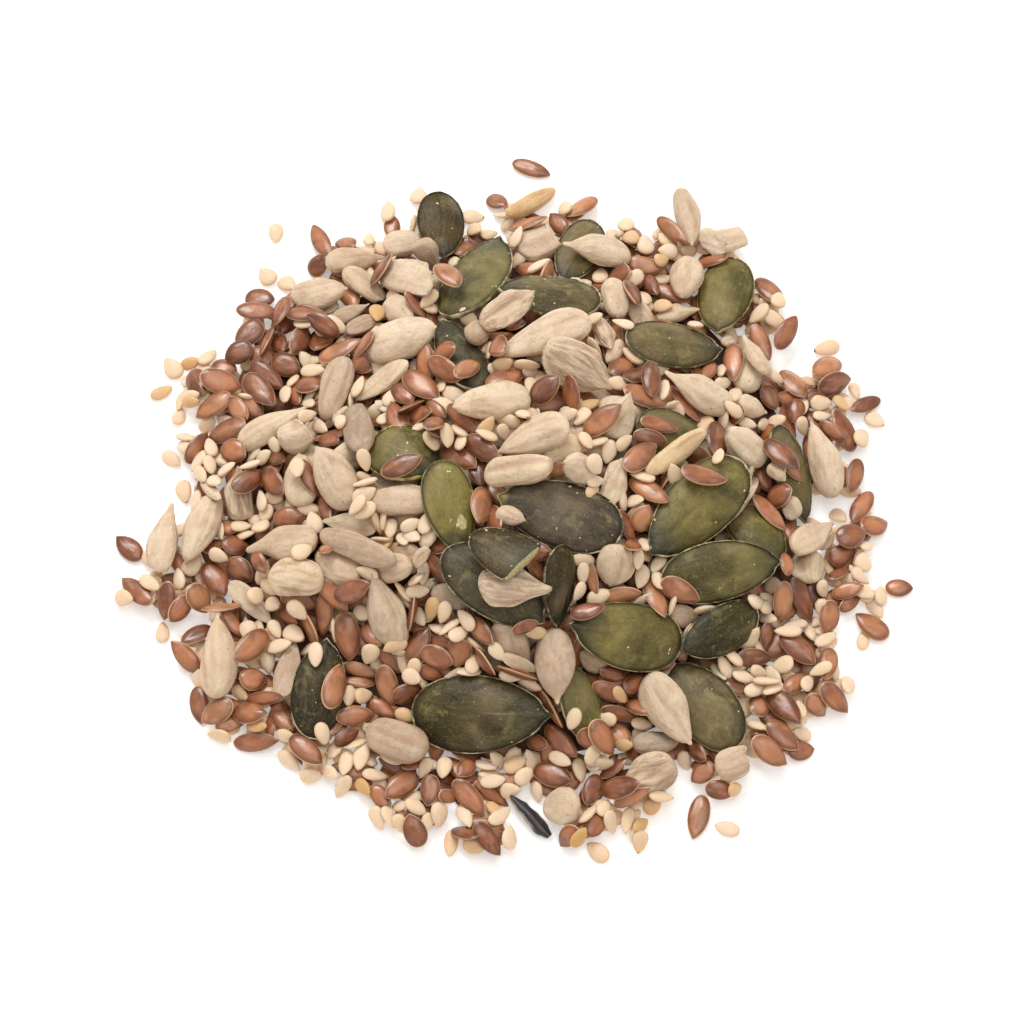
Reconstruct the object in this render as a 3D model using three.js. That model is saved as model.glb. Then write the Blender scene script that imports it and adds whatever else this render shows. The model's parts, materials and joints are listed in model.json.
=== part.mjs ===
// A loose heap of mixed seeds, lying as it was poured on a flat surface.
//
// The heap is one closed solid out to its uneven outline. Its top is a low
// mound whose surface is broken up by the seeds that lie on it: large flat
// pumpkin seeds, plump sunflower kernels, flat pointed flax seeds and small
// sesame seeds. Round the foot the mound runs out into a layer one seed thick.
// The underside is flat.
//
// Millimetres, +Z up. The origin is on the ground, in the middle of the
// heap's width and depth. +X is to the right and -Y to the front.

import * as THREE from 'three';

// ---- driving dimensions of the heap ----
const HEAP_WIDTH = 87; // X, over the outermost loose seeds
const HEAP_DEPTH = 84.5; // Y
const MOUND_HEIGHT = 15.6; // top of the mound, under the seeds on it
const FOOT_HEIGHT = 0.95; // layer of single seeds round the foot
const MOUND_SHARPNESS = 1.12; // above 1 rounds the top and steepens the flank
const PEAK_SHIFT = [0.8, 1.0]; // the top stands a little off the middle

// ---- outline: a circle with a few wide bulges and seed-sized notches ----
const OUTLINE_BULGES = [
  // [waves round the outline, depth as a share of the radius, phase in degrees]
  [1, 0.029, -73],
  [2, 0.006, -105],
  [3, 0.024, -133],
  [4, 0.010, 138],
  [5, 0.014, -49],
  [6, 0.009, 122],
  [7, 0.008, 110],
];
const NOTCH_DEPTH = 0.8; // how far single seeds stand out of the outline
const NOTCH_LENGTH = 3.4; // one seed's length along the outline

// ---- seeds: length, width, how far the seed stands out of the mound ----
const PUMPKIN = { length: 14.2, width: 8.6, rise: 1.55, taper: 0.34 };
const KERNEL = { length: 9.2, width: 5.0, rise: 1.9, taper: 0.42 };
const FLAX = { length: 4.8, width: 2.6, rise: 0.8, taper: 0.3 };
const SESAME = { length: 3.1, width: 2.0, rise: 0.6, taper: 0.3 };
const KERNEL_PITCH = 8.4; // between neighbouring sunflower kernels
const FLAX_PITCH = 5.0;
const SESAME_PITCH = 4.6;
const SEED_ROUNDNESS = 0.42; // below 0.5 gives a seed a fuller edge than an ellipsoid's

// ---- fineness of the surface ----
const RINGS = 36; // rings from the middle to the outline, ring k has 6k points

// The large flat seeds on top, each lying where it shows: x, y, heading of the
// pointed tip in degrees from +X.
const PUMPKIN_LAYOUT = [
  [-8.2, 32.5, 275], [-3.7, 21.9, 72], [4.3, 19.7, 182], [6.6, 26.9, 71],
  [24.1, 23.3, 254], [17.4, 13.9, 6], [-5.7, 10.5, 114], [-11.7, -2, 315],
  [-6.6, -7.7, 283], [5.2, -9.5, 165], [-2.4, -16.1, 146], [5, -16.2, 87],
  [19.1, -5.6, 234], [21.5, -12.8, 21], [25.6, -6.8, 49], [17.4, 2.2, 197],
  [31.5, 1, 119], [12.3, -20.6, 176], [22.1, -18.5, 210], [20.8, -26.1, 143],
  [-3.5, -27.7, 356], [6.8, -26.8, 148], [-21.2, -24.3, 69],
];

// ---- small deterministic number source ----
function numbers(seed) {
  let state = seed >>> 0;
  return () => {
    state = (state + 0x6d2b79f5) >>> 0;
    let t = state;
    t = Math.imul(t ^ (t >>> 15), t | 1);
    t ^= t + Math.imul(t ^ (t >>> 7), t | 61);
    return ((t ^ (t >>> 14)) >>> 0) / 4294967296;
  };
}

const DEGREE = Math.PI / 180;

// Radius of the outline before it is fitted to the heap's width and depth.
function bulgedRadius(angle) {
  let share = 1;
  for (const [waves, depth, phase] of OUTLINE_BULGES) {
    share += depth * Math.cos(waves * angle - phase * DEGREE);
  }
  return (HEAP_WIDTH / 2) * share;
}

// One rounded notch for each seed along the rim, no two quite alike.
const rimCount = Math.round((Math.PI * HEAP_WIDTH) / NOTCH_LENGTH);
const rimRandom = numbers(11);
const rimReach = Array.from({ length: rimCount }, () => 0.25 + 0.75 * rimRandom());
function notch(angle) {
  const turn = ((angle / (2 * Math.PI)) % 1 + 1) % 1;
  const place = turn * rimCount;
  const k = Math.floor(place) % rimCount;
  return NOTCH_DEPTH * rimReach[k] * Math.sin(Math.PI * (place - Math.floor(place)));
}

// Height of the smooth mound at a share s of the way out to the outline.
function mound(s) {
  const wave = 0.5 + 0.5 * Math.cos(Math.PI * Math.min(s, 1) ** MOUND_SHARPNESS);
  return FOOT_HEIGHT + (MOUND_HEIGHT - FOOT_HEIGHT) * wave;
}

// ---- the seeds that lie on the mound ----
const seeds = [];
const random = numbers(29);

function addSeed(kind, x, y, heading) {
  const size = 0.88 + 0.24 * random();
  seeds.push({
    x,
    y,
    cos: Math.cos(heading),
    sin: Math.sin(heading),
    a: (kind.length * size) / 2,
    b: (kind.width * (0.9 + 0.2 * random()) * size) / 2,
    rise: kind.rise * (0.75 + 0.5 * random()),
    taper: kind.taper,
  });
}

for (const [x, y, heading] of PUMPKIN_LAYOUT) addSeed(PUMPKIN, x, y, heading * DEGREE);

// Seeds of one kind fill the heap evenly but not in rows: each next one lies
// on a sunflower-head spiral and is then pushed off its place at random.
function scatter(kind, pitch, scattering) {
  const reach = HEAP_WIDTH / 2 - kind.length * 0.35;
  const count = Math.round((Math.PI * reach * reach) / (pitch * pitch));
  const turn = Math.PI * (3 - Math.sqrt(5));
  for (let k = 0; k < count; k++) {
    const r = reach * Math.sqrt((k + 0.5) / count);
    const angle = k * turn;
    const off = scattering * pitch;
    addSeed(
      kind,
      r * Math.cos(angle) + off * (random() - 0.5),
      r * Math.sin(angle) + off * (random() - 0.5),
      2 * Math.PI * random(),
    );
  }
}
scatter(KERNEL, KERNEL_PITCH, 0.9);
scatter(FLAX, FLAX_PITCH, 1.0);
scatter(SESAME, SESAME_PITCH, 1.2);

// A seed is a flattened dome on a drop-shaped outline, narrow at its tip.
function seedHeight(seed, x, y) {
  const dx = x - seed.x;
  const dy = y - seed.y;
  if (dx * dx + dy * dy > seed.a * seed.a) return 0;
  const along = (dx * seed.cos + dy * seed.sin) / seed.a;
  const across = (-dx * seed.sin + dy * seed.cos) / (seed.b * (1 - seed.taper * along));
  const left = 1 - along * along - across * across;
  return left > 0 ? seed.rise * left ** SEED_ROUNDNESS : 0;
}

function surfaceHeight(x, y, s) {
  let top = 0;
  for (const seed of seeds) top = Math.max(top, seedHeight(seed, x, y));
  return mound(s) + top;
}

// ---- the solid: rings of points on top, a low upright rim, a flat base ----
function heapGeometry() {
  // Ring 0 is the middle point. Ring k has 6k points, so the triangles are
  // all of about one size.
  const start = (k) => (k === 0 ? 0 : 1 + 3 * k * (k - 1));
  const plan = [];
  for (let k = 0; k <= RINGS; k++) {
    const count = Math.max(1, 6 * k);
    const share = k / RINGS;
    for (let i = 0; i < count; i++) {
      const angle = (2 * Math.PI * i) / count;
      const r = share * (bulgedRadius(angle) + notch(angle) * share ** 8);
      plan.push([r * Math.cos(angle), r * Math.sin(angle), share]);
    }
  }

  // Fit the outline to the heap's width and depth, centred on the origin.
  const low = [Infinity, Infinity];
  const high = [-Infinity, -Infinity];
  for (const p of plan) {
    for (let axis = 0; axis < 2; axis++) {
      low[axis] = Math.min(low[axis], p[axis]);
      high[axis] = Math.max(high[axis], p[axis]);
    }
  }
  const wanted = [HEAP_WIDTH, HEAP_DEPTH];
  const fit = (value, axis) =>
    ((value - (low[axis] + high[axis]) / 2) * wanted[axis]) / (high[axis] - low[axis]);

  const points = [];
  for (const [px, py, share] of plan) {
    const lean = (1 - share) ** 2; // moves the top, leaves the outline
    const x = fit(px, 0) + PEAK_SHIFT[0] * lean;
    const y = fit(py, 1) + PEAK_SHIFT[1] * lean;
    points.push(x, y, surfaceHeight(x, y, share));
  }

  const faces = [];
  // Between rings k and k + 1 the walk goes round both at once and always
  // joins on the point that comes next by angle.
  for (let k = 0; k < RINGS; k++) {
    const inner = Math.max(1, 6 * k);
    const outer = 6 * (k + 1);
    let i = 0;
    let j = 0;
    while (i < (k === 0 ? 0 : inner) || j < outer) {
      const a = start(k) + (i % inner);
      const b = start(k + 1) + (j % outer);
      const nextInner = k === 0 ? Infinity : (i + 1) / inner;
      const nextOuter = (j + 1) / outer;
      if (nextOuter <= nextInner) {
        faces.push(a, b, start(k + 1) + ((j + 1) % outer));
        j++;
      } else {
        faces.push(a, b, start(k) + ((i + 1) % inner));
        i++;
      }
    }
  }

  // The rim goes straight down to the ground, and the base closes it.
  const rim = start(RINGS);
  const rimPoints = 6 * RINGS;
  const foot = points.length / 3;
  for (let i = 0; i < rimPoints; i++) {
    points.push(points[3 * (rim + i)], points[3 * (rim + i) + 1], 0);
  }
  const middle = points.length / 3;
  points.push(0, 0, 0);
  for (let i = 0; i < rimPoints; i++) {
    const n = (i + 1) % rimPoints;
    faces.push(rim + i, foot + i, foot + n);
    faces.push(rim + i, foot + n, rim + n);
    faces.push(foot + n, foot + i, middle);
  }

  const geometry = new THREE.BufferGeometry();
  geometry.setAttribute('position', new THREE.Float32BufferAttribute(points, 3));
  geometry.setIndex(faces);
  geometry.computeVertexNormals();
  return geometry;
}

const heap = new THREE.Mesh(
  heapGeometry(),
  new THREE.MeshStandardMaterial({ color: 0xb08c68, roughness: 0.6, metalness: 0 }),
);
heap.name = 'seed_heap';

const object = new THREE.Group();
object.add(heap);

export default object;
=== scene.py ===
# A loose heap of mixed seeds on a bare pale surface: hulled pumpkin seeds,
# sunflower kernels, brown flax seeds, hulled sesame seeds and one sliver of
# black husk. Every seed is a mesh of its own shape. The heap is piled up in
# code: each seed is dropped onto what already lies there and turned until it
# lies as low as it can. All lengths are in millimetres until the meshes are
# written in metres.
import json
import math
import bpy
import numpy as np
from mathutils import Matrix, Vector

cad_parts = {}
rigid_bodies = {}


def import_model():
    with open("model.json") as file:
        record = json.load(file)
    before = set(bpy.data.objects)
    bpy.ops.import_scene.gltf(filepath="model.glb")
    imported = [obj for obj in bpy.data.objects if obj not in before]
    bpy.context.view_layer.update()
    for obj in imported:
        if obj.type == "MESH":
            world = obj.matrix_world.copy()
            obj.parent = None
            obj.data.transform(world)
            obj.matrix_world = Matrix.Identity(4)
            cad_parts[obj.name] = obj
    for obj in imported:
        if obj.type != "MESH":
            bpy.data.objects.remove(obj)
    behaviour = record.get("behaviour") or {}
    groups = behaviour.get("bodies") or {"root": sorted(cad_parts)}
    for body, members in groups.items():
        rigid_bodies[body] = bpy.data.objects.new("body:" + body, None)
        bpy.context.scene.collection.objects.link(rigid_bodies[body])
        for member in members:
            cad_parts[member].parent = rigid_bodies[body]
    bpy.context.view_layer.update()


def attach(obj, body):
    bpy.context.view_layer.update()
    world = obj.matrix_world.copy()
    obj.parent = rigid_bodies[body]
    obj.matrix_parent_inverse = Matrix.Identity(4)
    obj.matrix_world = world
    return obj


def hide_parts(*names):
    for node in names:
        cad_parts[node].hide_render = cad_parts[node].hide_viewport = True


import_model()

# ------------------------------------------------------------------ camera
ELEVATION = math.radians(64.0)
DISTANCE = 400.0
LENS = 129.0
FOCAL = LENS / 36.0 * 1024.0
AIM = np.array([-0.02, -1.55, 0.0])
FORWARD = np.array([0.0, math.cos(ELEVATION), -math.sin(ELEVATION)])
RIGHT = np.array([1.0, 0.0, 0.0])
UP = np.array([0.0, math.sin(ELEVATION), math.cos(ELEVATION)])
EYE = AIM - DISTANCE * FORWARD


def sight(u, v):
    """Direction in which the point (u, v) of the 1024 by 1024 frame is seen."""
    return FORWARD + ((u - 512.0) / FOCAL) * RIGHT + ((512.0 - v) / FOCAL) * UP


def at_height(u, v, z):
    d = sight(u, v)
    return EYE + d * ((z - EYE[2]) / d[2])


def on_plane(u, v, point, normal):
    d = sight(u, v)
    return EYE + d * (np.dot(point - EYE, normal) / np.dot(d, normal))


def project(p):
    rel = p - EYE
    depth = rel @ FORWARD
    return 512.0 + FOCAL * (rel @ RIGHT) / depth, 512.0 - FOCAL * (rel @ UP) / depth


# ------------------------------------------------- the heap's outer shape
WIDTH, DEPTH = 87.0, 84.5
MOUND, FOOT, SHARPNESS = 15.6, 0.95, 1.12
BULGES = ((1, .029, -73), (2, .006, -105), (3, .024, -133), (4, .010, 138),
          (5, .014, -49), (6, .009, 122), (7, .008, 110))


def raw_radius(angle):
    share = np.ones_like(angle)
    for waves, depth, phase in BULGES:
        share = share + depth * np.cos(waves * angle - math.radians(phase))
    return share * WIDTH / 2


_t = np.linspace(0, 2 * np.pi, 721)
_r = raw_radius(_t)
_x, _y = _r * np.cos(_t), _r * np.sin(_t)
_x = (_x - (_x.min() + _x.max()) / 2) * (WIDTH - 0.8) / np.ptp(_x)
_y = (_y - (_y.min() + _y.max()) / 2) * (DEPTH - 0.8) / np.ptp(_y)
_a = np.unwrap(np.arctan2(_y, _x))
OUT_ANGLE, OUT_RADIUS = _a, np.hypot(_x, _y)


def share_out(x, y):
    """0 in the middle of the heap, 1 on its outline."""
    a = np.arctan2(y, x)
    lo = OUT_ANGLE[0]
    a = lo + (a - lo) % (2 * np.pi)
    return np.hypot(x, y) / np.interp(a, OUT_ANGLE, OUT_RADIUS)


def mound(x, y):
    s = np.minimum(share_out(x, y), 1.0)
    return FOOT + (MOUND - FOOT) * (0.5 + 0.5 * np.cos(np.pi * s ** SHARPNESS))


# ------------------------------------------------------------- seed layout
# Each row is one seed that shows plainly: the blunt end and the pointed end
# in the 1024 by 1024 frame, the width there, the layer it lies in (2 is on
# top), a letter for its look, and - or + where it is darker or paler than most.
PUMPKIN = """
439 191 443 260 47 1 q|450 322 502 237 55 0 g|602 300 500 292 44 1 j|597 221 560 282 45 0 j|734 256 716 334 54 1 y
624 340 722 351 46 1 j|480 392 441 320 42 0 t|371 440 438 470 58 0 o|440 460 459 553 51 1 f|624 533 500 498 68 2 k
472 533 526 565 48 2 x|445 550 542 622 62 1 t|563 545 556 628 34 0 d|745 462 650 552 68 1 m|635 425 705 440 46 0 m
660 583 779 560 60 1 g|758 610 682 652 48 1 e|738 512 776 556 46 0 o|778 425 805 521 35 0 j|683 645 571 627 68 1 m
735 747 672 664 62 0 j|411 713 548 716 78 2 u|590 735 572 675 40 0 g|312 738 326 640 54 1 d
"""
KERNEL = """
291 298 348 290 34 1 p|326 262 385 256 28 0 n|344 268 384 302 25 1 b|380 268 441 288 42 1 b|383 246 425 240 30 0 p
418 242 440 268 26 1 n -|332 321 370 304 19 1 n -|346 332 375 319 19 1 r -|385 300 413 322 32 0 p|366 350 437 328 46 2 p +
482 328 535 292 40 2 w|468 342 492 322 28 0 n -|516 250 560 236 38 1 b|506 217 556 190 20 0 s|631 256 562 243 36 2 n
682 187 694 248 29 1 p -|744 232 703 246 34 1 b|690 256 682 300 38 1 p|612 278 617 321 30 1 p|655 318 700 308 22 0 n
632 300 650 330 24 0 b|590 318 497 356 43 1 n|545 345 611 388 58 2 w +|597 318 612 350 30 1 w +
345 356 325 420 34 1 r -|408 361 353 403 24 2 b +|352 406 366 457 36 1 a -|352 508 316 446 47 2 n|370 500 437 500 36 0 p
530 396 452 407 41 2 p +|568 422 496 452 40 1 n|484 475 553 463 38 2 r +|496 512 526 520 21 2 p|377 528 322 520 25 1 h +
319 533 396 562 31 2 r -|396 565 424 550 34 0 n -|495 490 512 506 15 1 b -|540 455 583 440 40 0 p +|595 480 562 462 34 1 p +
603 508 626 460 30 1 c +|607 438 632 392 40 1 c|646 476 707 431 24 3 s|731 408 664 373 37 2 n +|618 545 612 588 44 0 p
645 505 628 520 15 0 b -|238 445 308 406 31 1 n +|278 440 315 432 38 2 b|303 507 298 453 38 1 p|240 521 238 466 41 1 w
216 494 186 562 36 1 p|158 572 170 503 36 1 n|318 540 244 551 40 1 n|200 480 220 500 13 1 b|325 580 268 577 45 1 r +
230 582 276 627 24 0 h|218 697 219 612 39 2 n|282 696 296 640 28 0 h -|360 578 314 556 35 0 p|398 648 372 572 43 2 n
376 574 414 566 32 1 p|414 576 430 558 15 1 b|404 588 440 578 13 1 b +|432 590 470 605 28 0 a -|478 583 552 592 46 1 w
498 620 530 668 41 0 n -|552 629 558 704 44 2 n -|502 665 542 682 15 1 h|606 668 580 652 28 0 a|648 675 691 744 49 2 n
368 728 428 752 43 2 r -|676 765 620 785 46 1 w|632 745 680 740 26 0 a -|548 800 578 812 43 1 p|715 768 750 760 36 1 b
668 615 702 618 26 0 n -|810 583 805 547 38 1 b +|790 552 835 522 32 1 n|835 497 812 420 38 2 n|765 462 724 430 39 2 p +
738 402 768 414 24 1 n +|742 393 756 345 34 0 n +|768 375 742 335 21 1 n|768 466 788 476 20 1 b +|798 518 785 500 23 1 b +
756 476 724 526 17 0 h|764 311 786 328 15 0 b|428 286 442 290 20 0 b +|722 345 736 338 16 0 b
"""
FLAX = """
512 162 550 175 17 0|488 197 507 207 17 0|597 197 566 218 16 0|566 234 551 213 18 0|392 238 392 215 17 0|329 257 312 224 18 0
312 272 325 258 20 0|336 240 357 247 16 0|236 310 276 312 19 1|245 298 275 300 22 0|262 322 236 345 28 0|252 345 226 360 24 1
293 312 280 335 18 1|276 332 283 353 16 0|308 328 292 354 22 1|330 330 313 352 20 0|318 361 360 340 25 1|272 358 300 372 26 1
250 350 275 365 26 0|250 360 283 388 20 1|242 372 277 408 24 1|190 370 205 395 24 0|200 375 240 388 28 1|212 366 236 371 20 0
222 395 240 412 20 0|228 398 248 420 18 1|243 398 262 418 20 0|246 422 208 440 24 1|222 445 246 458 26 2|296 382 322 388 20 1
290 385 300 405 16 0|232 490 262 472 22 2|262 470 284 495 22 2|300 458 315 495 16 1|273 520 303 516 24 2|268 455 285 462 16 0
141 560 117 536 21 0|152 605 122 578 20 0|168 581 165 620 19 1|190 598 170 622 20 1|190 585 208 612 24 1|204 563 226 595 24 1
228 560 252 580 24 1|218 540 208 552 18 0|224 545 246 545 20 0|211 626 181 643 17 0|199 672 172 641 20 0|268 630 234 662 26 2
240 682 265 676 24 0|245 700 286 697 14 1|197 686 202 724 20 0|233 702 201 722 24 1|232 712 267 714 22 1|220 726 238 724 12 0
233 745 278 741 20 1|290 736 322 764 22 1|275 712 290 728 16 0|280 612 296 622 13 0|222 608 242 636 13 0|326 590 322 636 18 2
334 600 370 584 22 2|344 612 351 660 28 1|364 625 380 646 16 1|328 708 341 665 24 2|342 662 378 672 14 1|345 680 375 684 11 0
382 663 393 706 22 1|378 650 400 672 11 0|392 700 420 688 20 1|373 702 392 714 14 0|336 718 373 714 20 1|334 744 358 730 16 1
328 735 345 712 11 0|408 662 428 628 22 1|428 640 462 645 20 0|420 652 453 664 22 2|462 638 456 668 28 1|422 670 440 678 16 0
474 650 495 676 22 1|470 620 493 645 18 1|470 606 484 618 13 0|512 632 538 622 11 1|428 552 446 582 18 0|522 562 545 548 18 0
586 558 596 598 13 1|600 600 641 592 18 1|648 578 664 616 20 1|571 616 605 606 16 1|661 580 699 601 23 2|592 684 628 700 18 1
601 702 641 716 16 1|624 690 645 676 18 0|600 670 625 678 11 0|538 690 562 728 18 1|546 725 576 756 20 1|592 720 612 755 24 2
612 725 628 745 20 0|578 740 598 756 20 0|528 740 545 745 16 0|534 768 572 782 24 1|598 775 586 805 20 1|601 792 640 783 22 2
614 808 650 790 11 1|600 778 628 758 11 1|600 818 590 833 20 0|577 826 560 846 20 1|421 847 408 814 24 1|417 774 386 797 24 1
432 775 428 806 20 0|402 768 430 758 10 0|372 785 388 808 18 0|454 780 484 815 22 2|474 782 508 806 14 1|472 762 460 775 18 0
440 795 458 798 14 0|475 822 499 855 20 1|703 795 694 838 22 1|705 788 734 792 20 0|712 766 694 780 20 0|690 745 705 760 16 0
752 738 786 765 24 1|768 722 797 750 22 1|788 752 813 750 20 0|769 692 800 722 24 2|757 716 760 696 22 0|808 695 824 716 20 0
821 684 848 712 22 1|830 648 826 680 20 0|781 633 814 664 22 2|788 690 803 676 18 0|736 658 772 658 20 1|768 622 765 650 14 1
784 580 782 622 20 2|793 577 812 622 20 1|832 600 826 634 22 2|832 595 863 586 16 1|840 612 858 600 14 0|828 578 850 566 10 1
832 560 850 550 22 1|836 540 866 532 26 1|860 530 888 522 22 2|871 490 852 523 19 1|859 458 850 494 18 1|786 553 788 575 14 0
888 588 910 588 18 0|887 638 856 614 22 1|852 452 836 410 22 0|820 422 845 440 14 0|881 398 850 411 16 1|816 388 852 378 22 1
840 358 812 378 26 0|782 370 805 398 24 1|798 400 793 422 18 1|765 385 775 410 18 0|776 350 797 317 20 1|752 324 770 360 18 0
757 278 782 305 20 0|733 340 734 384 20 2|716 362 700 382 14 0|766 440 798 470 24 2|785 465 800 478 9 0|760 470 768 488 16 0
768 502 792 488 24 1|754 495 784 530 16 1|790 520 792 545 16 0|728 682 745 692 16 0
403 372 439 398 24 2|396 382 412 404 24 0|402 416 433 412 18 1|427 402 446 418 16 0|427 360 462 380 22 1|477 360 455 378 20 2
433 358 456 346 20 0|447 404 480 434 18 0|441 446 477 466 24 1|466 436 499 460 22 1|484 487 479 523 23 1|381 474 422 457 21 2
476 464 480 482 18 0|486 388 526 368 26 0|430 540 450 550 22 0|532 402 558 376 24 2|532 408 566 402 20 0|584 435 621 405 24 2
650 361 652 399 20 2|622 388 668 405 24 1|610 375 634 358 20 0|625 382 650 368 18 0|664 378 706 430 13 0|640 420 678 430 15 1
633 434 667 442 18 1|624 470 655 443 24 1|628 477 670 503 20 2|680 470 727 481 21 3|716 421 718 460 24 1|636 532 648 506 22 0
550 472 566 472 16 0|530 552 546 552 20 0|437 267 460 292 22 1|405 291 426 318 10 1|455 254 476 244 14 0|657 218 686 242 16 1
626 262 664 270 18 0|652 286 690 302 16 0|645 275 657 295 16 0|613 318 620 350 12 0|351 360 372 372 18 0|318 440 340 440 14 0
320 495 330 520 13 0|253 553 266 573 15 1
"""
SESAME = """
276 223 276 243 15 0|274 284 260 268 18 0|280 278 295 290 16 0|417 205 420 187 17 0|388 222 388 200 15 0|369 246 369 232 10 0
626 232 626 216 20 0|630 244 632 230 18 0 g|646 255 645 234 18 1|665 246 665 232 14 0|676 252 660 250 16 0|655 262 668 258 14 0
598 284 603 268 16 1|654 306 672 306 14 1|377 304 377 322 16 2 g|454 257 454 268 12 0|461 217 484 217 15 0|480 236 498 232 11 0|467 228 482 231 14 0 t
840 345 814 351 16 0 t|777 308 780 292 16 0|764 312 786 328 14 0|200 364 216 350 13 0|182 366 198 360 13 0 g|180 378 165 358 18 0
151 398 172 387 13 0 g|182 402 200 394 14 0|176 425 182 408 14 0|183 408 200 406 11 0|202 432 214 418 14 0|178 442 192 452 14 0
163 452 180 466 15 0|181 480 187 503 16 0|256 462 271 450 13 1|212 455 228 464 11 0|296 458 298 478 16 2|285 385 286 404 13 0
300 370 325 370 13 1|303 362 322 360 11 0|312 420 328 430 13 1|300 418 314 414 11 1|264 497 284 498 14 0|268 504 264 522 15 1
255 532 268 520 13 1|230 526 252 526 11 0|216 520 222 540 11 0|318 534 310 512 18 1|292 556 312 547 16 2|212 556 226 562 14 0
185 575 200 556 20 0|180 590 178 568 13 0|140 576 160 590 14 0|114 596 134 600 17 1|250 600 262 590 18 1|258 585 268 560 13 0
266 602 280 606 16 0|162 643 163 622 14 0|248 620 248 640 18 1|284 628 304 640 18 2|268 628 278 640 14 0|270 620 280 638 11 0
266 652 270 675 15 1|315 642 316 667 15 2|234 688 246 698 13 0|232 738 207 734 14 0 t|246 726 268 726 11 0 g|276 732 296 740 13 0
278 752 300 770 14 0|300 778 322 774 16 0|320 722 325 745 15 2|322 768 338 778 14 0|350 775 336 798 14 0|349 752 343 775 15 1
364 744 358 770 16 1|356 780 370 794 13 0 g|362 773 388 777 10 1|380 752 402 764 11 1|398 712 412 718 14 1|355 697 372 694 16 2
350 688 348 704 13 1|374 648 366 668 18 1|416 660 412 680 14 1|404 676 420 684 16 2|354 608 370 618 16 1|406 600 430 598 14 1
414 606 424 624 14 1|436 599 428 622 15 2 g|448 603 440 625 14 2|490 645 505 662 14 0|446 757 442 778 16 1|430 758 420 778 13 0
372 806 382 830 15 0|384 806 394 828 10 0|396 816 404 832 14 0|394 806 406 806 11 0|406 800 426 814 14 1|430 815 424 830 13 0
440 802 438 828 17 0|460 806 470 827 14 0|452 830 450 856 15 0 t|462 844 484 850 16 0 g|490 824 510 808 14 0|508 850 511 826 16 0
474 763 498 767 10 1|478 775 500 773 10 0|480 783 506 779 14 2|500 792 520 790 16 1|504 770 527 758 16 1|516 784 532 768 16 0
536 786 538 797 11 0|549 754 571 764 14 2|577 758 582 782 14 1|588 764 614 762 16 2|577 708 570 730 15 2|600 815 608 800 14 0
608 810 614 834 14 1|630 808 625 834 13 1|580 822 596 804 9 1|645 812 660 800 16 0 g|634 830 648 820 11 0 g|642 830 638 853 16 0 t
608 860 588 844 18 0|572 848 586 829 14 1 g|648 795 674 798 11 0|616 750 632 750 9 0 g|632 722 652 726 13 0|616 690 624 700 8 1 g
740 832 715 825 15 0|728 792 742 786 14 0|584 562 582 586 12 1|584 590 574 608 10 1|646 565 638 588 16 2|664 556 652 572 13 0
688 640 690 628 11 0|712 664 726 680 9 0|732 674 756 680 12 2|750 668 768 676 11 1|744 694 768 684 14 2|794 662 772 668 17 2
807 625 813 640 11 1|812 648 840 630 12 1|832 664 810 674 12 2|803 690 812 676 14 0|802 718 798 700 12 1|812 738 793 730 14 0
848 676 848 694 15 0|820 580 826 598 13 2|780 580 764 590 16 0|760 616 776 620 11 0|862 650 864 630 13 0
855 588 875 596 14 0|880 606 882 586 14 0|862 572 864 552 18 0|860 548 874 544 9 0|856 445 868 430 18 0|866 414 884 426 16 0
852 382 858 400 11 0|810 403 832 403 16 0|834 396 848 410 11 0 g|812 416 832 416 10 0|800 420 805 436 13 1|802 398 803 415 11 0
768 424 786 418 13 0|722 428 738 418 11 1|738 420 756 426 11 1|714 386 732 380 13 1|832 512 845 520 14 0
368 418 384 402 13 2|378 424 392 412 11 2|428 430 436 452 16 2|391 518 390 538 14 1|400 528 421 520 13 2|403 532 420 540 14 1
377 552 400 540 12 1 g|441 388 468 400 16 1|412 360 420 374 15 1|362 458 368 480 14 1|500 426 508 440 10 0|522 370 540 374 11 1
530 376 534 398 14 1|588 408 574 426 16 2|580 408 600 400 11 1 g|616 450 632 436 13 2|590 456 600 472 18 1|612 440 606 464 16 1
582 432 590 450 13 0|716 464 720 452 8 3
"""


def rows(text):
    found = []
    for part in text.replace("\n", "|").split("|"):
        w = part.split()
        if len(w) >= 6:
            found.append((float(w[0]), float(w[1]), float(w[2]), float(w[3]),
                          float(w[4]), int(w[5]), w[6] if len(w) > 6 else "n", w[7] if len(w) > 7 else ""))
    return found


# Millimetres: (least, usual, most) length, the same for width, thickness as a
# share of the width.
KINDS = {
    "pumpkin": ((8.2, 13.4, 15.4), (5.0, 8.0, 9.0), 0.36),
    "kernel": ((5.2, 8.4, 10.8), (2.6, 4.2, 5.7), 0.62),
    "flax": ((3.6, 4.5, 5.2), (1.85, 2.3, 2.75), 0.37),
    "sesame": ((2.3, 2.8, 3.3), (1.35, 1.65, 2.0), 0.42),
}

# ------------------------------------------------------ piling the seeds up
CELL = 0.25
HALF = 50.0
SIZE = int(2 * HALF / CELL)
centres = (np.arange(SIZE) + 0.5) * CELL - HALF
GX, GY = np.meshgrid(centres, centres, indexing="ij")
TARGET = mound(GX, GY)
SHARE = share_out(GX, GY)
CORE_REST, CORE_EDGE = 0.57, 0.72
core_top = np.where(SHARE < CORE_EDGE, np.maximum(TARGET * CORE_REST - 1.0, 0.35), 0.0)
ground = core_top.copy()

rng = np.random.default_rng(61)
seeds = {k: [] for k in KINDS}


def unit(v):
    return v / np.linalg.norm(v)


def turned(normal, along):
    """Rotation whose X is along, laid into the plane across normal, and whose Z is normal."""
    z = unit(normal)
    x = unit(along - np.dot(along, z) * z)
    return np.stack([x, np.cross(z, x), z], 1)


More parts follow.
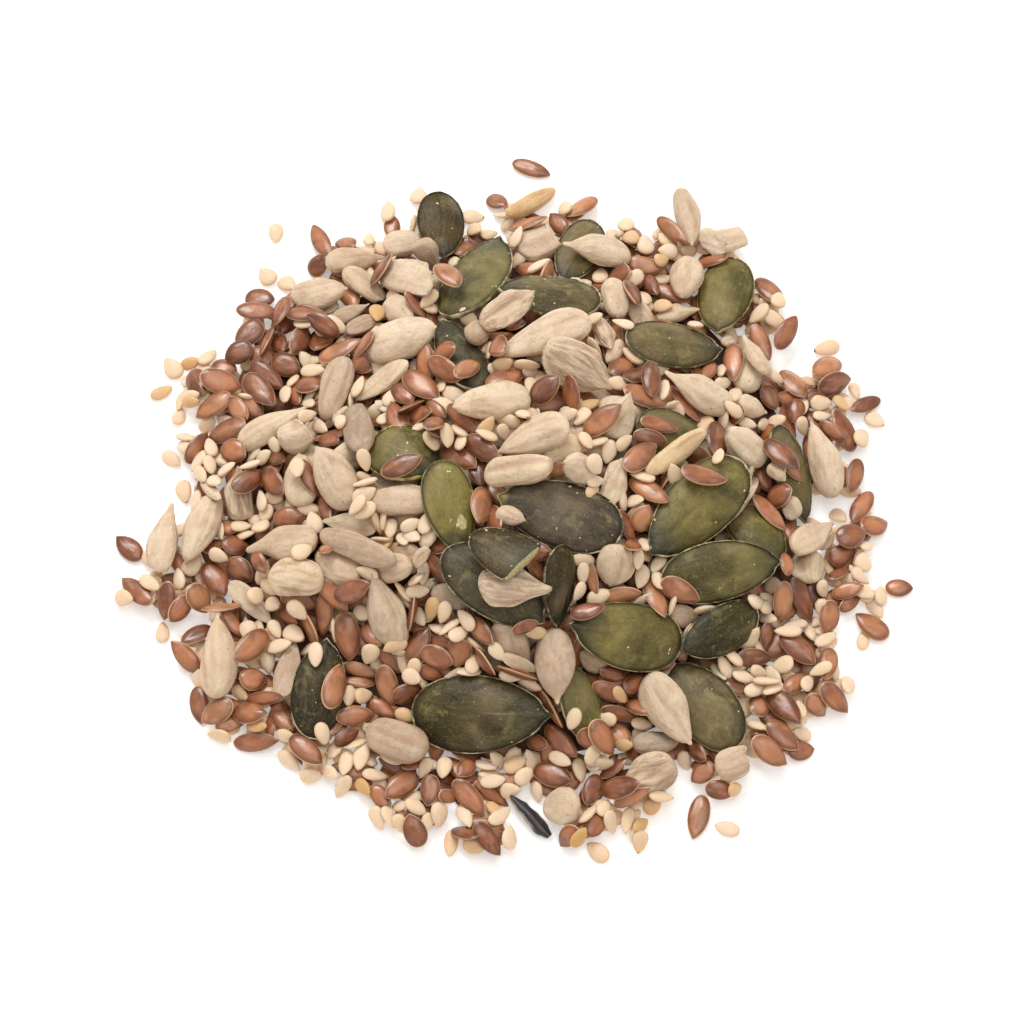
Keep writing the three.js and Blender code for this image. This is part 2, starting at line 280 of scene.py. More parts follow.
def shadow(R, half, cx, cy):
    """The grid window under an ellipsoid, which cells it covers, and its lower and upper surface there, from its middle."""
    M = (R / half ** 2) @ R.T
    S = (R * half ** 2) @ R.T
    ex, ey = math.sqrt(S[0, 0]), math.sqrt(S[1, 1])
    i0 = max(int((cx - ex + HALF) / CELL), 0)
    i1 = min(int((cx + ex + HALF) / CELL) + 2, SIZE)
    j0 = max(int((cy - ey + HALF) / CELL), 0)
    j1 = min(int((cy + ey + HALF) / CELL) + 2, SIZE)
    dx = (centres[i0:i1] - cx)[:, None]
    dy = (centres[j0:j1] - cy)[None, :]
    q = M[0, 2] * dx + M[1, 2] * dy
    p = M[0, 0] * dx * dx + 2 * M[0, 1] * dx * dy + M[1, 1] * dy * dy - 1.0
    disc = q * q - M[2, 2] * p
    inside = disc > 0
    root = np.sqrt(np.maximum(disc, 0.0)) / M[2, 2]
    mid = -q / M[2, 2]
    return (slice(i0, i1), slice(j0, j1)), inside, mid - root, mid + root


def rest_height(R, half, cx, cy, keep=0.965):
    window, inside, low, _ = shadow(R, half, cx, cy)
    gap = (ground[window] - low)[inside]
    if gap.size < 3:
        return float(ground[window].max() + half[2])
    k = min(int(gap.size * keep), gap.size - 1)
    return float(np.partition(gap, k)[k])


def slope_normal(cx, cy, reach, most=0.75):
    """Normal of the plane through the heap's surface round (cx, cy)."""
    i0 = max(int((cx - reach + HALF) / CELL), 0)
    i1 = min(int((cx + reach + HALF) / CELL) + 1, SIZE)
    j0 = max(int((cy - reach + HALF) / CELL), 0)
    j1 = min(int((cy + reach + HALF) / CELL) + 1, SIZE)
    h = ground[i0:i1, j0:j1]
    dx = (centres[i0:i1] - cx)[:, None] * np.ones_like(h)
    dy = (centres[j0:j1] - cy)[None, :] * np.ones_like(h)
    sx = ((dx - dx.mean()) * h).sum() / max(((dx - dx.mean()) ** 2).sum(), 1e-6)
    sy = ((dy - dy.mean()) * h).sum() / max(((dy - dy.mean()) ** 2).sum(), 1e-6)
    steep = math.hypot(sx, sy)
    if steep > most:
        sx, sy = sx * most / steep, sy * most / steep
    return unit(np.array([-sx, -sy, 1.0]))


def put(kind, R, half, centre, look, listed, layer, mark=""):
    window, inside, _, high = shadow(R, half, centre[0], centre[1])
    area = ground[window]
    area[inside] = np.maximum(area[inside], centre[2] + high[inside])
    seeds[kind].append(dict(R=R, half=half, at=centre.copy(), look=look, listed=listed, layer=layer, mark=mark))


def settle(kind, half, cx, cy, along, tries, spread, roll=0.0, lock=None, keep=0.965):
    """Tries a few ways of lying at (cx, cy) and keeps the lowest. With lock = (u, v) the seed's middle stays on that line of sight."""
    best = None
    reach = max(half[1] * 1.1, 0.9)
    for k in range(tries):
        x, y = cx, cy
        normal = slope_normal(x, y, reach)
        if k:
            normal = unit(normal + np.append(rng.normal(0, spread, 2), 0.0))
        R = turned(normal, along)
        if roll:
            c, s = math.cos(roll), math.sin(roll)
            R = R @ np.array([[1, 0, 0], [0, c, -s], [0, s, c]])
        z = rest_height(R, half, x, y, keep)
        if lock is not None:
            for _ in range(2):
                p = at_height(lock[0], lock[1], z)
                x, y = p[0], p[1]
                z = rest_height(R, half, x, y, keep)
        if best is None or z < best[0]:
            best = (z, R, x, y)
    z, R, x, y = best
    return R, np.array([x, y, z])


def cell_of(x, y):
    return (min(max(int((x + HALF) / CELL), 0), SIZE - 1), min(max(int((y + HALF) / CELL), 0), SIZE - 1))


def outline_fit(R, thick, at, t_px, n_px, long_px, wide_px, lengths, widths):
    """Half sizes at which an ellipsoid turned by R shows long_px by wide_px in the frame, held to its kind's range, and by how much it then misses."""
    k = FOCAL / np.dot(at - EYE, FORWARD)
    J = k * np.stack([RIGHT, -UP])
    jx, jy, jz = J @ R[:, 0], J @ R[:, 1], J @ R[:, 2]
    b = (wide_px / 2) / math.sqrt(np.dot(n_px, jy) ** 2 + (thick * np.dot(n_px, jz)) ** 2)
    b = min(max(b, widths[0] / 2), widths[1] / 2)
    c = thick * b
    rest = (long_px / 2) ** 2 - (b * np.dot(t_px, jy)) ** 2 - (c * np.dot(t_px, jz)) ** 2
    a = math.sqrt(max(rest, 1.0)) / max(abs(np.dot(t_px, jx)), 0.5)
    a = min(max(a, lengths[0] / 2, b * 1.05), lengths[1] / 2)
    wide = 2 * math.sqrt((b * np.dot(n_px, jy)) ** 2 + (c * np.dot(n_px, jz)) ** 2)
    long = 2 * math.sqrt((a * np.dot(t_px, jx)) ** 2 + (b * np.dot(t_px, jy)) ** 2 + (c * np.dot(t_px, jz)) ** 2)
    return np.array([a, b, c]), abs(wide - wide_px) + abs(long - long_px)


def lay_listed(kind, row, tries):
    u0, v0, u1, v1, w, layer, look, mark = row
    (l0, _, l1), (w0, _, w1), thick = KINDS[kind]
    um, vm = (u0 + u1) / 2, (v0 + v1) / 2
    t_px = unit(np.array([u1 - u0, v1 - v0]))
    n_px = np.array([t_px[1], -t_px[0]])
    long_px = math.hypot(u1 - u0, v1 - v0)
    if kind in ("kernel", "flax"):
        l0, w0 = (3.0, 1.6) if kind == "kernel" else (3.0, 1.5)
    if kind == "kernel":
        w = 0.94 * w
        thick = rng.uniform(0.52, 0.72)
        if look in "bch":
            l0, w0 = 2.2, 1.2
        if look == "h":
            thick = 0.42
        if look in "s":
            thick = 0.85
    if kind == "pumpkin" and look == "x":
        l0, thick = 5.5, 0.24
    z = 3.0
    for _ in range(8):
        p = at_height(um, vm, z)
        i, j = cell_of(p[0], p[1])
        z = 0.5 * z + 0.5 * (ground[i, j] + 0.6)
    flat = slope_normal(p[0], p[1], 0.3 * long_px * 0.109 + 0.8)
    look_dir = unit(sight(um, vm))
    best = None
    for k in range(tries):
        normal = flat if k == 0 else unit(flat + np.append(rng.normal(0, 0.16 if kind == "pumpkin" else 0.22, 2), 0.0))
        if abs(normal @ look_dir) < 0.3:
            continue
        run = on_plane(u1, v1, p, normal) - on_plane(u0, v0, p, normal)
        R = turned(normal, run)
        if k % 3 == 2:
            roll = rng.uniform(0.4, 1.25) * rng.choice([-1, 1])
            c, s = math.cos(roll), math.sin(roll)
            R = R @ np.array([[1, 0, 0], [0, c, -s], [0, s, c]])
        half, miss = outline_fit(R, thick, p, t_px, n_px, long_px, w, (l0, l1), (w0, w1))
        x, y = p[0], p[1]
        z = rest_height(R, half, x, y)
        for _ in range(2):
            q = at_height(um, vm, z)
            x, y = q[0], q[1]
            z = rest_height(R, half, x, y)
        cost = z + (0.20 if kind == "pumpkin" else 0.11) * miss + (0.25 if k % 3 == 2 else 0.0)
        if best is None or cost < best[0]:
            best = (cost, R, half, np.array([x, y, z]))
    _, R, half, at = best
    if look == "x" and kind == "pumpkin":
        # its broken corner lies up on the seed beside it
        at = at_height(um, vm, at[2] + 0.95)
    put(kind, R, half, at, look, True, layer, mark)


def free_size(kind):
    (l0, lu, l1), (w0, wu, w1), thick = KINDS[kind]
    s = rng.normal(1.0, 0.055)
    length = min(max(lu * s * rng.normal(1, 0.04), l0), l1)
    width = min(max(wu * s * rng.normal(1, 0.05), w0), w1)
    return np.array([length, width, thick * width * rng.normal(1, 0.05)]) / 2


# -- where the heap shows in the frame, from the layout alone: the listed
# seeds and the gaps between them
MASK = 512
PUMPKINS, KERNELS, FLAXES, SESAMES = rows(PUMPKIN), rows(KERNEL), rows(FLAX), rows(SESAME)
HUSK = (510, 796, 548, 838)
# places between the loose seeds where the floor is bare: middle, half width,
# half height
BARE = ((521, 186, 28, 12), (550, 203, 7, 6), (402, 215, 8, 14), (476, 207, 11, 7), (604, 218, 13, 11),
        (707, 220, 10, 9), (493, 224, 6, 5), (646, 222, 8, 5), (377, 226, 5, 8), (295, 232, 17, 9),
        (303, 264, 10, 13), (266, 291, 13, 11), (806, 350, 32, 18), (788, 364, 12, 8), (168, 384, 9, 24),
        (192, 427, 7, 8), (857, 422, 7, 6), (857, 453, 7, 6), (185, 474, 8, 10), (180, 510, 6, 7),
        (831, 508, 17, 10), (136, 536, 6, 6), (134, 569, 8, 7), (888, 578, 20, 8), (856, 640, 16, 36),
        (197, 620, 10, 5), (168, 638, 9, 11), (684, 800, 14, 24), (719, 815, 14, 17), (452, 817, 5, 10),
        (438, 842, 9, 8), (611, 845, 18, 8), (786, 771, 20, 8), (266, 757, 13, 8), (826, 719, 7, 7))


def spread(m, steps):
    """Grows a region by so many cells; a negative number shrinks it."""
    if steps < 0:
        return ~spread(~m, -steps)
    for k in range(steps):
        g = m.copy()
        g[1:] |= m[:-1]
        g[:-1] |= m[1:]
        h = g.copy()
        h[:, 1:] |= g[:, :-1] if k % 2 else m[:, :-1]
        h[:, :-1] |= g[:, 1:] if k % 2 else m[:, 1:]
        m = h
    return m


cover = np.zeros((MASK, MASK), bool)
_v, _u = np.meshgrid((np.arange(MASK) + 0.5) * 1024 / MASK, (np.arange(MASK) + 0.5) * 1024 / MASK, indexing="ij")
for table in (PUMPKINS, KERNELS, FLAXES, SESAMES):
    for u0, v0, u1, v1, w, *_ in table:
        long = math.hypot(u1 - u0, v1 - v0)
        ax, ay = (u1 - u0) / long, (v1 - v0) / long
        du, dv = _u - (u0 + u1) / 2, _v - (v0 + v1) / 2
        cover |= ((du * ax + dv * ay) / (long / 2)) ** 2 + ((dv * ax - du * ay) / (w / 2)) ** 2 < 1
inside_all = spread(spread(cover, 8), -8)
outside = np.zeros_like(inside_all)
outside[0, :] = outside[-1, :] = outside[:, 0] = outside[:, -1] = True
for _ in range(500):
    grown = spread(outside, 1) & ~inside_all
    if (grown == outside).all():
        break
    outside = grown
inside_all = ~outside
for bu, bv, ru, rv in BARE:
    inside_all &= ((_u - bu) / ru) ** 2 + ((_v - bv) / rv) ** 2 > 1
inside_deep = spread(inside_all, -2)


def prints(R, half, at, shrink=0.9, heights=False):
    """The cells of the frame that a seed's upper side covers, and how high it is there."""
    window, inside, _, high = shadow(R, half * shrink, at[0], at[1])
    xs = np.broadcast_to(centres[window[0]][:, None], inside.shape)[inside]
    ys = np.broadcast_to(centres[window[1]][None, :], inside.shape)[inside]
    zs = at[2] + high[inside]
    u, v = project(np.stack([xs, ys, zs], 1))
    cells = (np.clip((v / 1024 * MASK).astype(int), 0, MASK - 1), np.clip((u / 1024 * MASK).astype(int), 0, MASK - 1))
    return (*cells, zs) if heights else cells


# -- first the seeds that lie under the others, up to a little below the top
UNDER = (("kernel", 0.14), ("flax", 0.50), ("sesame", 0.36))
BASE = np.maximum(TARGET * 0.86 - 2.3, 0.0)


def lay_under(count):
    for _ in range(count):
        r, a = math.sqrt(rng.random()) * 44.0, rng.random() * 2 * math.pi
        x, y = r * math.cos(a), r * math.sin(a)
        i, j = cell_of(x, y)
        bare = ground[i, j] < 0.36
        if ground[i, j] > BASE[i, j] - 0.5 and not bare:
            continue
        kind = rng.choice([k for k, _ in UNDER], p=[w for _, w in UNDER])
        if kind == "kernel" and (SHARE[i, j] > 0.75 or ground[i, j] > BASE[i, j] - 1.2):
            kind = "flax"
        if SHARE[i, j] > 0.86 and kind == "flax" and rng.random() < 0.5:
            kind = "sesame"
        half = free_size(kind)
        b = rng.random() * 2 * math.pi
        R, at = settle(kind, half, x, y, np.array([math.cos(b), math.sin(b), 0.0]), 5, 0.25)
        if at[2] > BASE[i, j] + 0.9 and not (bare and at[2] < 1.5):
            continue
        if SHARE[i, j] > 0.5:
            vv, uu = prints(R, half, at, 1.0)
            if not inside_deep[vv, uu].all():
                continue
        look = rng.choice(["n", "p", "p", "b", "a"]) if kind == "kernel" else "n"
        put(kind, R, half, at, look, False, -1)


lay_under(17000)
print("UNDER", {k: len(v) for k, v in seeds.items()}, "top", round(float(ground.max()), 2))

# -- then the seeds that show plainly, layer by layer, the big ones first
tables = [("pumpkin", PUMPKINS, 24), ("kernel", KERNELS, 21), ("flax", FLAXES, 15), ("sesame", SESAMES, 12)]
for layer in range(4):
    for kind, table, tries in tables:
        for row in table:
            if row[5] == layer:
                lay_listed(kind, row, tries)
    print("LAYER", layer, "top", round(float(ground.max()), 2))

# -- where they show in the frame, so that no later seed hides them
mask = np.zeros((MASK, MASK), bool)
for kind in seeds:
    for s in seeds[kind]:
        if s["listed"]:
            mask[prints(s["R"], s["half"], s["at"], 1.0 if kind == "pumpkin" else 0.9)] = True
for u0, v0, u1, v1, *_ in PUMPKINS:
    mask |= (_u - u1) ** 2 + (_v - v1) ** 2 < 25
m = mask.copy()
m[1:] |= mask[:-1]
m[:, 1:] |= mask[:, :-1]
mask = m

# -- and last the small seeds and crumbs that fill the gaps between them
GAPS = (("flax", 0.56), ("sesame", 0.41), ("crumb", 0.03))


def lay_between(count, rise, hide):
    for _ in range(count):
        r, a = math.sqrt(rng.random()) * 44.0, rng.random() * 2 * math.pi
        x, y = r * math.cos(a), r * math.sin(a)
        i, j = cell_of(x, y)
        if ground[i, j] > TARGET[i, j] + rise:
            continue
        kind = rng.choice([k for k, _ in GAPS], p=[w for _, w in GAPS])
        look = "n"
        if kind == "crumb":
            kind, look = "kernel", "z"
            half = np.array([rng.uniform(0.5, 1.3), rng.uniform(0.4, 0.8), rng.uniform(0.25, 0.5)])
        else:
            half = free_size(kind)
            if kind == "flax" and rng.random() < 0.1:
                look, half = "x", half * [0.6, 1, 1]
        b = rng.random() * 2 * math.pi
        edge = kind == "flax" and rng.random() < 0.22 and SHARE[i, j] < 0.85
        R, at = settle(kind, half, x, y, np.array([math.cos(b), math.sin(b), 0.0]), 7, 0.25,
                       rng.uniform(0.7, 1.5) if edge else 0.0, None, 0.80 if edge else 0.965)
        if at[2] > TARGET[i, j] + rise + 0.9:
            continue
        vv, uu = prints(R, half, at)
        if len(vv) and (mask[vv, uu].mean() > (0.0 if look == "z" else hide) or not inside_all[vv, uu].all()):
            continue
        put(kind, R, half, at, look, False, 5)


lay_between(11000, -0.2, 0.18)


# -- where the heap's inside or the floor still shows between the seeds, a
# small one is wedged in, but not in front of a listed one
def front_of(listed_only, deep):
    """How high the seeds are that show in each cell of the frame."""
    top = np.full((MASK, MASK), -9.0)
    for kind in seeds:
        for s in seeds[kind]:
            i, j = cell_of(s["at"][0], s["at"][1])
            if s["listed"] if listed_only else s["at"][2] + s["half"][2] > TARGET[i, j] - deep:
                vv, uu, zz = prints(s["R"], s["half"], s["at"], 1.0, True)
                np.maximum.at(top, (vv, uu), zz)
    g = top.copy()
    g[1:] = np.maximum(g[1:], top[:-1])
    g[:, 1:] = np.maximum(g[:, 1:], top[:, :-1])
    g[1:, 1:] = np.maximum(g[1:, 1:], top[:-1, :-1])
    return g


def lay_gaps(count, deep, most):
    listed_top = front_of(True, 0.0)
    gap = inside_deep & (front_of(False, deep) < -5)
    before, added = int(gap.sum()), {"flax": 0, "sesame": 0}
    for _ in range(count):
        vs, us = np.nonzero(gap)
        if not len(vs):
            break
        k = rng.integers(len(vs))
        u, v = (us[k] + 0.5) * 1024 / MASK, (vs[k] + 0.5) * 1024 / MASK
        z = 2.0
        for _ in range(6):
            p = at_height(u, v, z)
            i, j = cell_of(p[0], p[1])
            z = 0.4 * z + 0.6 * (ground[i, j] + 0.4)
        kind = "flax" if rng.random() < 0.5 and added["flax"] < most else "sesame"
        half = free_size(kind)
        b = rng.random() * 2 * math.pi
        roll = rng.uniform(0.5, 1.4) if rng.random() < 0.35 else 0.0
        R, at = settle(kind, half, p[0], p[1], np.array([math.cos(b), math.sin(b), 0.0]), 5, 0.35, roll, (u, v), 0.55)
        i, j = cell_of(at[0], at[1])
        vv, uu, zz = prints(R, half, at, 1.0, True)
        if not len(vv) or at[2] < half[2] * 0.8 or not inside_all[vv, uu].all():
            continue
        if (zz > listed_top[vv, uu] + 0.02)[mask[vv, uu]].sum() > 0.15 * len(vv) or gap[vv, uu].mean() < 0.20:
            continue
        if at[2] > TARGET[i, j] + 0.9:
            continue
        put(kind, R, half, at, "n", False, 5)
        added[kind] += 1
        if at[2] + half[2] > TARGET[i, j] - deep:
            gap[vv, uu] = False
            gap[np.minimum(vv + 1, MASK - 1), uu] = False
            gap[vv, np.minimum(uu + 1, MASK - 1)] = False
    print("GAPS", before, "to", int(gap.sum()), added)


lay_gaps(2500, 2.2, 85)

print("SEEDS", {k: len(v) for k, v in seeds.items()}, "top", float(ground.max()))


# ------------------------------------------------------------- seed shapes
def smooth(x):
    x = np.clip(x, 0.0, 1.0)
    return x * x * (3 - 2 * x)


def wobble(rand, n, x, y, low, high, count=3):
    """A smooth uneven field, a different one for each of n seeds."""
    out = 0.0
    for _ in range(count):
        shape = (n,) + (1,) * (x.ndim - 1)
        fx = rand.uniform(low, high, shape) * rand.choice([-1, 1], shape)
        fy = rand.uniform(low, high, shape) * rand.choice([-1, 1], shape)
        out = out + np.sin(fx * x + fy * y + rand.uniform(0, 6.28, shape))
    return out / count


class Mesh:
    """Vertices, faces and per-corner map places of many seeds, joined."""

    def __init__(self):
        self.co, self.face, self.uv, self.cell = [], [], [], []
        self.local, self.ids, self.zone = [], [], []
        self.count = 0
        self.cells = 0

    def add(self, pos, quads, uv, local, ids, zone):
        """pos, local (n, m, 3), quads (f, 4) with -1 for triangles, uv (f, 4, 2) inside the seed's own square, ids (n, 3), zone (n, m, 3)."""
        n, m = pos.shape[:2]
        base = self.count + np.arange(n) * m
        self.co.append(pos.reshape(-1, 3))
        q = quads[None] + base[:, None, None]
        q = np.where(quads[None] < 0, -1, q)
        self.face.append(q.reshape(-1, 4))
        self.uv.append(np.broadcast_to(uv[None], (n,) + uv.shape).reshape(-1, 4, 2))
        self.cell.append(np.repeat(self.cells + np.arange(n), len(quads)))
        self.local.append(local.reshape(-1, 3))
        self.ids.append(np.repeat(ids, m, 0))
        self.zone.append(zone.reshape(-1, 3))
        self.count += n * m
        self.cells += n

    def build(self, name):
        co = np.concatenate(self.co) * 0.001
        co[:, 2] = np.maximum(co[:, 2], 0.00002)
        face = np.concatenate(self.face)
        uv = np.concatenate(self.uv)
        cell = np.concatenate(self.cell)
        across = int(math.ceil(math.sqrt(self.cells)))
        place = np.stack([cell % across, cell // across], 1)[:, None, :]
        uv = (place + 0.04 + 0.92 * uv) / across
        four = face[:, 3] >= 0
        size = np.where(four, 4, 3)
        start = np.concatenate([[0], np.cumsum(size)[:-1]])
        keep = np.ones((len(face), 4), bool)
        keep[~four, 3] = False
        me = bpy.data.meshes.new(name)
        me.vertices.add(len(co))
        me.vertices.foreach_set("co", co.astype(np.float32).ravel())
        me.loops.add(int(size.sum()))
        me.loops.foreach_set("vertex_index", face[keep].astype(np.int32))
        me.polygons.add(len(face))
        me.polygons.foreach_set("loop_start", start.astype(np.int32))
        me.polygons.foreach_set("loop_total", size.astype(np.int32))
        me.update(calc_edges=True)
        me.polygons.foreach_set("use_smooth", np.ones(len(face), bool))
        layer = me.uv_layers.new(name="OFBake")
        layer.uv.foreach_set("vector", uv[keep].astype(np.float32).ravel())
        for key, values in (("seed_co", self.local), ("seed_id", self.ids), ("seed_zone", self.zone)):
            a = me.attributes.new(key, "FLOAT_VECTOR", "POINT")
            a.data.foreach_set("vector", np.concatenate(values).astype(np.float32).ravel())
        me.update()
        ob = bpy.data.objects.new(name, me)
        bpy.context.scene.collection.objects.link(ob)
        print("MESH", name, self.cells, "seeds", int((size - 2).sum()), "triangles")
        return ob


def placed(points, group):
    R = np.stack([s["R"] for s in group])
    at = np.stack([s["at"] for s in group])
    return np.einsum("nij,nmj->nmi", R, points) + at[:, None, :]


def flat_grid(rings, steps):
    """Faces of a flat seed: a disc of rings on top and one underneath that share the rim. Returns (ring share, angle, side) of each point, the faces, and the side of each face."""
    m = len(rings)
    share, angle, side = [0.0], [0.0], [1.0]
    ang = np.arange(steps) * 2 * np.pi / steps
    for r in rings:
        share += [r] * steps
        angle += list(ang)
        side += [1.0 if r < 1 else 0.0] * steps
    under = 1 + m * steps
    for r in rings[:-1]:
        share += [r] * steps
        angle += list(ang)
        side += [-1.0] * steps
    share.append(0.0)
    angle.append(0.0)
    side.append(-1.0)
    last = len(share) - 1
    faces, sides = [], []

    def ring(k, below):
        if not below or k == m - 1:
            return 1 + k * steps
        return under + k * steps

    for below in (False, True):
        mid = last if below else 0
        for i in range(steps):
            n = (i + 1) % steps
            a, b = ring(0, below) + i, ring(0, below) + n
            faces.append([mid, a, b, -1] if not below else [mid, b, a, -1])
            sides.append(below)
        for k in range(m - 1):
            p, q = ring(k, below), ring(k + 1, below)
            for i in range(steps):
                n = (i + 1) % steps
                quad = [p + i, q + i, q + n, p + n]
                faces.append(quad if not below else quad[::-1])
                sides.append(below)
    return np.array(share), np.array(angle), np.array(side), np.array(faces), np.array(sides)


def flat_uv(x, y, faces, sides):
    idx = np.where(faces < 0, faces[:, :1], faces)
    u = 0.5 + 0.48 * x[idx]
    v = 0.25 + 0.235 * y[idx]
    v = np.where(sides[:, None], v + 0.5, v)
    return np.stack([u, v], 2)


def flat_seeds(mesh, kind, group, rings, steps, rand):
    n = len(group)
    if not n:
        return
    share, angle, side, faces, sides = flat_grid(rings, steps)
    s, f, w = share[None], angle[None], side[None]
    U = lambda a, b: rand.uniform(a, b, (n, 1))
    c, sn = np.cos(f), np.sin(f)
    front = np.maximum(c, 0.0)
    back = np.maximum(-c, 0.0)
    near = (f + np.pi) % (2 * np.pi) - np.pi
    # broken across: the outline ends at a nearly straight line
    snapped = np.array([g["look"] == "x" for g in group])[:, None]
    slope = U(-0.22, 0.22) if kind == "flax" else 0.07
    reach = c - slope * sn
    short = np.where(reach > 0.02, U(0.10, 0.16) / np.maximum(reach, 0.02), 9.0) if kind == "pumpkin" else \
        np.where(reach > 0.02, U(0.05, 0.55) / np.maximum(reach, 0.02), 9.0)
    short = short * (1 + 0.02 * np.sin(7 * f + U(0, 6)) + 0.012 * np.sin(17 * f + U(0, 6)))
    short = np.where(snapped, np.minimum(short, 1.0), 1.0)
    s_all = s
    s = s * short
    if kind == "pumpkin":
        # an oval, a little narrower towards the tip, with a short beak
        x = c + U(0.03, 0.08) * np.exp(-(near / 0.11) ** 2) - U(0.012, 0.030) * np.exp(-((np.abs(near) - 0.31) / 0.13) ** 2)
        y = sn * (1 - U(0.05, 0.15) * c) * (1 - U(0.08, 0.22) * front ** 3) * (1 + 0.04 * back ** 2)
        y = y + U(-0.05, 0.05) * front ** 2
        dome = np.maximum(1 - (s / 0.984) ** U(2.0, 2.6), 0) ** U(0.66, 0.82)
        rim = U(0.15, 0.23) * np.sqrt(np.maximum(1 - ((s - 0.986) / 0.014) ** 2, 0.0)) * (1 + 0.3 * np.sin(U(3, 9) * f + U(0, 6)) * np.sin(U(5, 13) * f + U(0, 6)))
        dome = dome * (1 + U(-0.08, 0.04) * np.exp(-((s * sn - U(-0.12, 0.12)) / U(0.07, 0.15)) ** 2) * smooth(1.3 * (s * c + U(0.1, 0.9))))
        # faint ridges that run together at the pointed end
        fan = np.sin(U(7, 11) * s * sn / (1.15 - s * c) + U(0, 6)) + 0.6 * np.sin(U(14, 19) * s * sn / (1.2 - s * c) + U(0, 6))
        dome = dome * (1 + U(0.006, 0.022) * fan * smooth((s * c + 0.7) / 1.2) * smooth((0.97 - s * c) / 0.2))
        T = np.maximum(dome, rim)
        bend, twist, lump, rough = U(-0.20, 0.34), U(-0.16, 0.16), 0.13, 0.016
    elif kind == "flax":
        # an oval with a small hooked beak and a thin edge
        side_ = rand.choice([-1.0, 1.0], (n, 1))
        x = c + U(0.03, 0.08) * np.exp(-(near / 0.20) ** 2)
        y = sn * (1 - U(0.04, 0.15) * c) * (1 - U(0.14, 0.30) * front ** 3)
        y = y + side_ * U(0.0, 0.12) * np.exp(-(near / 0.45) ** 2) * s
        T = 0.20 * np.sqrt(np.maximum(1 - s ** 2, 0)) + 0.80 * np.maximum(1 - s ** U(2.2, 3.4), 0) ** U(0.66, 0.84)
        T = T * (1 + U(-0.16, 0.08) * np.exp(-((s * sn - U(-0.2, 0.2)) / U(0.14, 0.3)) ** 2))
        bend, twist, lump, rough = U(-0.14, 0.24), U(-0.16, 0.16), 0.10, 0.016
    else:
        x = c + U(0.01, 0.06) * np.exp(-(near / 0.30) ** 2)
        y = sn * (1 - U(0.14, 0.28) * c) * (1 - U(0.10, 0.26) * front ** 3)
        T = np.maximum(1 - s ** 2.4, 0) ** U(0.50, 0.66) * (1 - 0.18 * c * s)
        bend, twist, lump, rough = U(-0.12, 0.16), U(-0.12, 0.12), 0.09, 0.02
    T = np.where(s_all >= 1.0, 0.0, T)
    s = s_all
    edge = wobble(rand, n, c * np.ones((n, 1)), sn * np.ones((n, 1)), 1.0, 2.6)
    fine_edge = wobble(rand, n, c * np.ones((n, 1)), sn * np.ones((n, 1)), 4.0, 8.0)
    grow = 1 + (0.022 if kind != "sesame" else 0.04) * edge + 0.006 * fine_edge
    half = np.stack([g["half"] for g in group])
    broken = np.array([g["look"] == "x" for g in group])[:, None]
    X, Y = s * x * grow * short, s * y * grow * short
    raw = np.where((short < 0.999) & (s > (0.965 if kind == "pumpkin" else 0.96)), 1.0, 0.0) + 0 * X
    if kind == "pumpkin":
        # one seed has lost a patch of its skin
        patch = np.exp(-(((X - 0.40) / 0.22) ** 2 + ((Y - 0.30) / 0.26) ** 2) ** 2) + 0.8 * np.exp(-(((X - 0.22) / 0.08) ** 2 + ((Y + 0.30) / 0.16) ** 2))
        raw = np.where(np.array([g["look"] == "f" for g in group])[:, None] & (w >= 0), np.maximum(raw, 0.9 * patch), raw)
    lo, hi = X.min(1, keepdims=True), X.max(1, keepdims=True)
    X = np.where(broken, (X - lo) / (hi - lo) * 2 - 1, X)
    Z = w * T + lump * wobble(rand, n, X, Y, 1.2, 3.2) * (1 - s ** 4) + rough * wobble(rand, n, X, Y, 6, 11) * (1 - s ** 8)
    P = np.stack([X * half[:, :1], Y * half[:, 1:2], Z * half[:, 2:3]], 2)
    P[..., 2] += bend * (X ** 2 - 0.3) * half[:, 2:3] + twist * X * Y * half[:, 1:2]
    uv = flat_uv(share * np.cos(angle) * 0.98, share * np.sin(angle) * 0.98, faces, sides)
    shift = rand.uniform(0, 400, (n, 1, 3))
    ids = np.stack([rand.random(n), rand.random(n), np.array([tone_of(kind, g["look"], g["mark"], rand) for g in group])], 1)
    zone = np.stack([X + 0 * s, s + 0 * X, raw], 2)
    mesh.add(placed(P, group), faces, uv, P + shift, ids, zone)


PUMPKIN_TONES = "kdteqjxmguoy"


def tone_of(kind, look, mark, rand):
    if kind == "pumpkin":
        return PUMPKIN_TONES.index(look.replace("f", "o")) / (len(PUMPKIN_TONES) - 1)
    if kind == "kernel":
        tone = {"a": 0.70, "s": 0.03, "h": 0.36, "w": 0.44}.get(look, 0.42) + rand.uniform(-0.08, 0.08)
        return tone + {"-": 0.24, "+": -0.16}.get(mark, rand.uniform(-0.05, 0.05))
    if kind == "sesame":
        return {"g": 1.0, "t": 0.3}.get(look, 0.0) + (rand.random() < 0.06) * 0.7
    return rand.random()


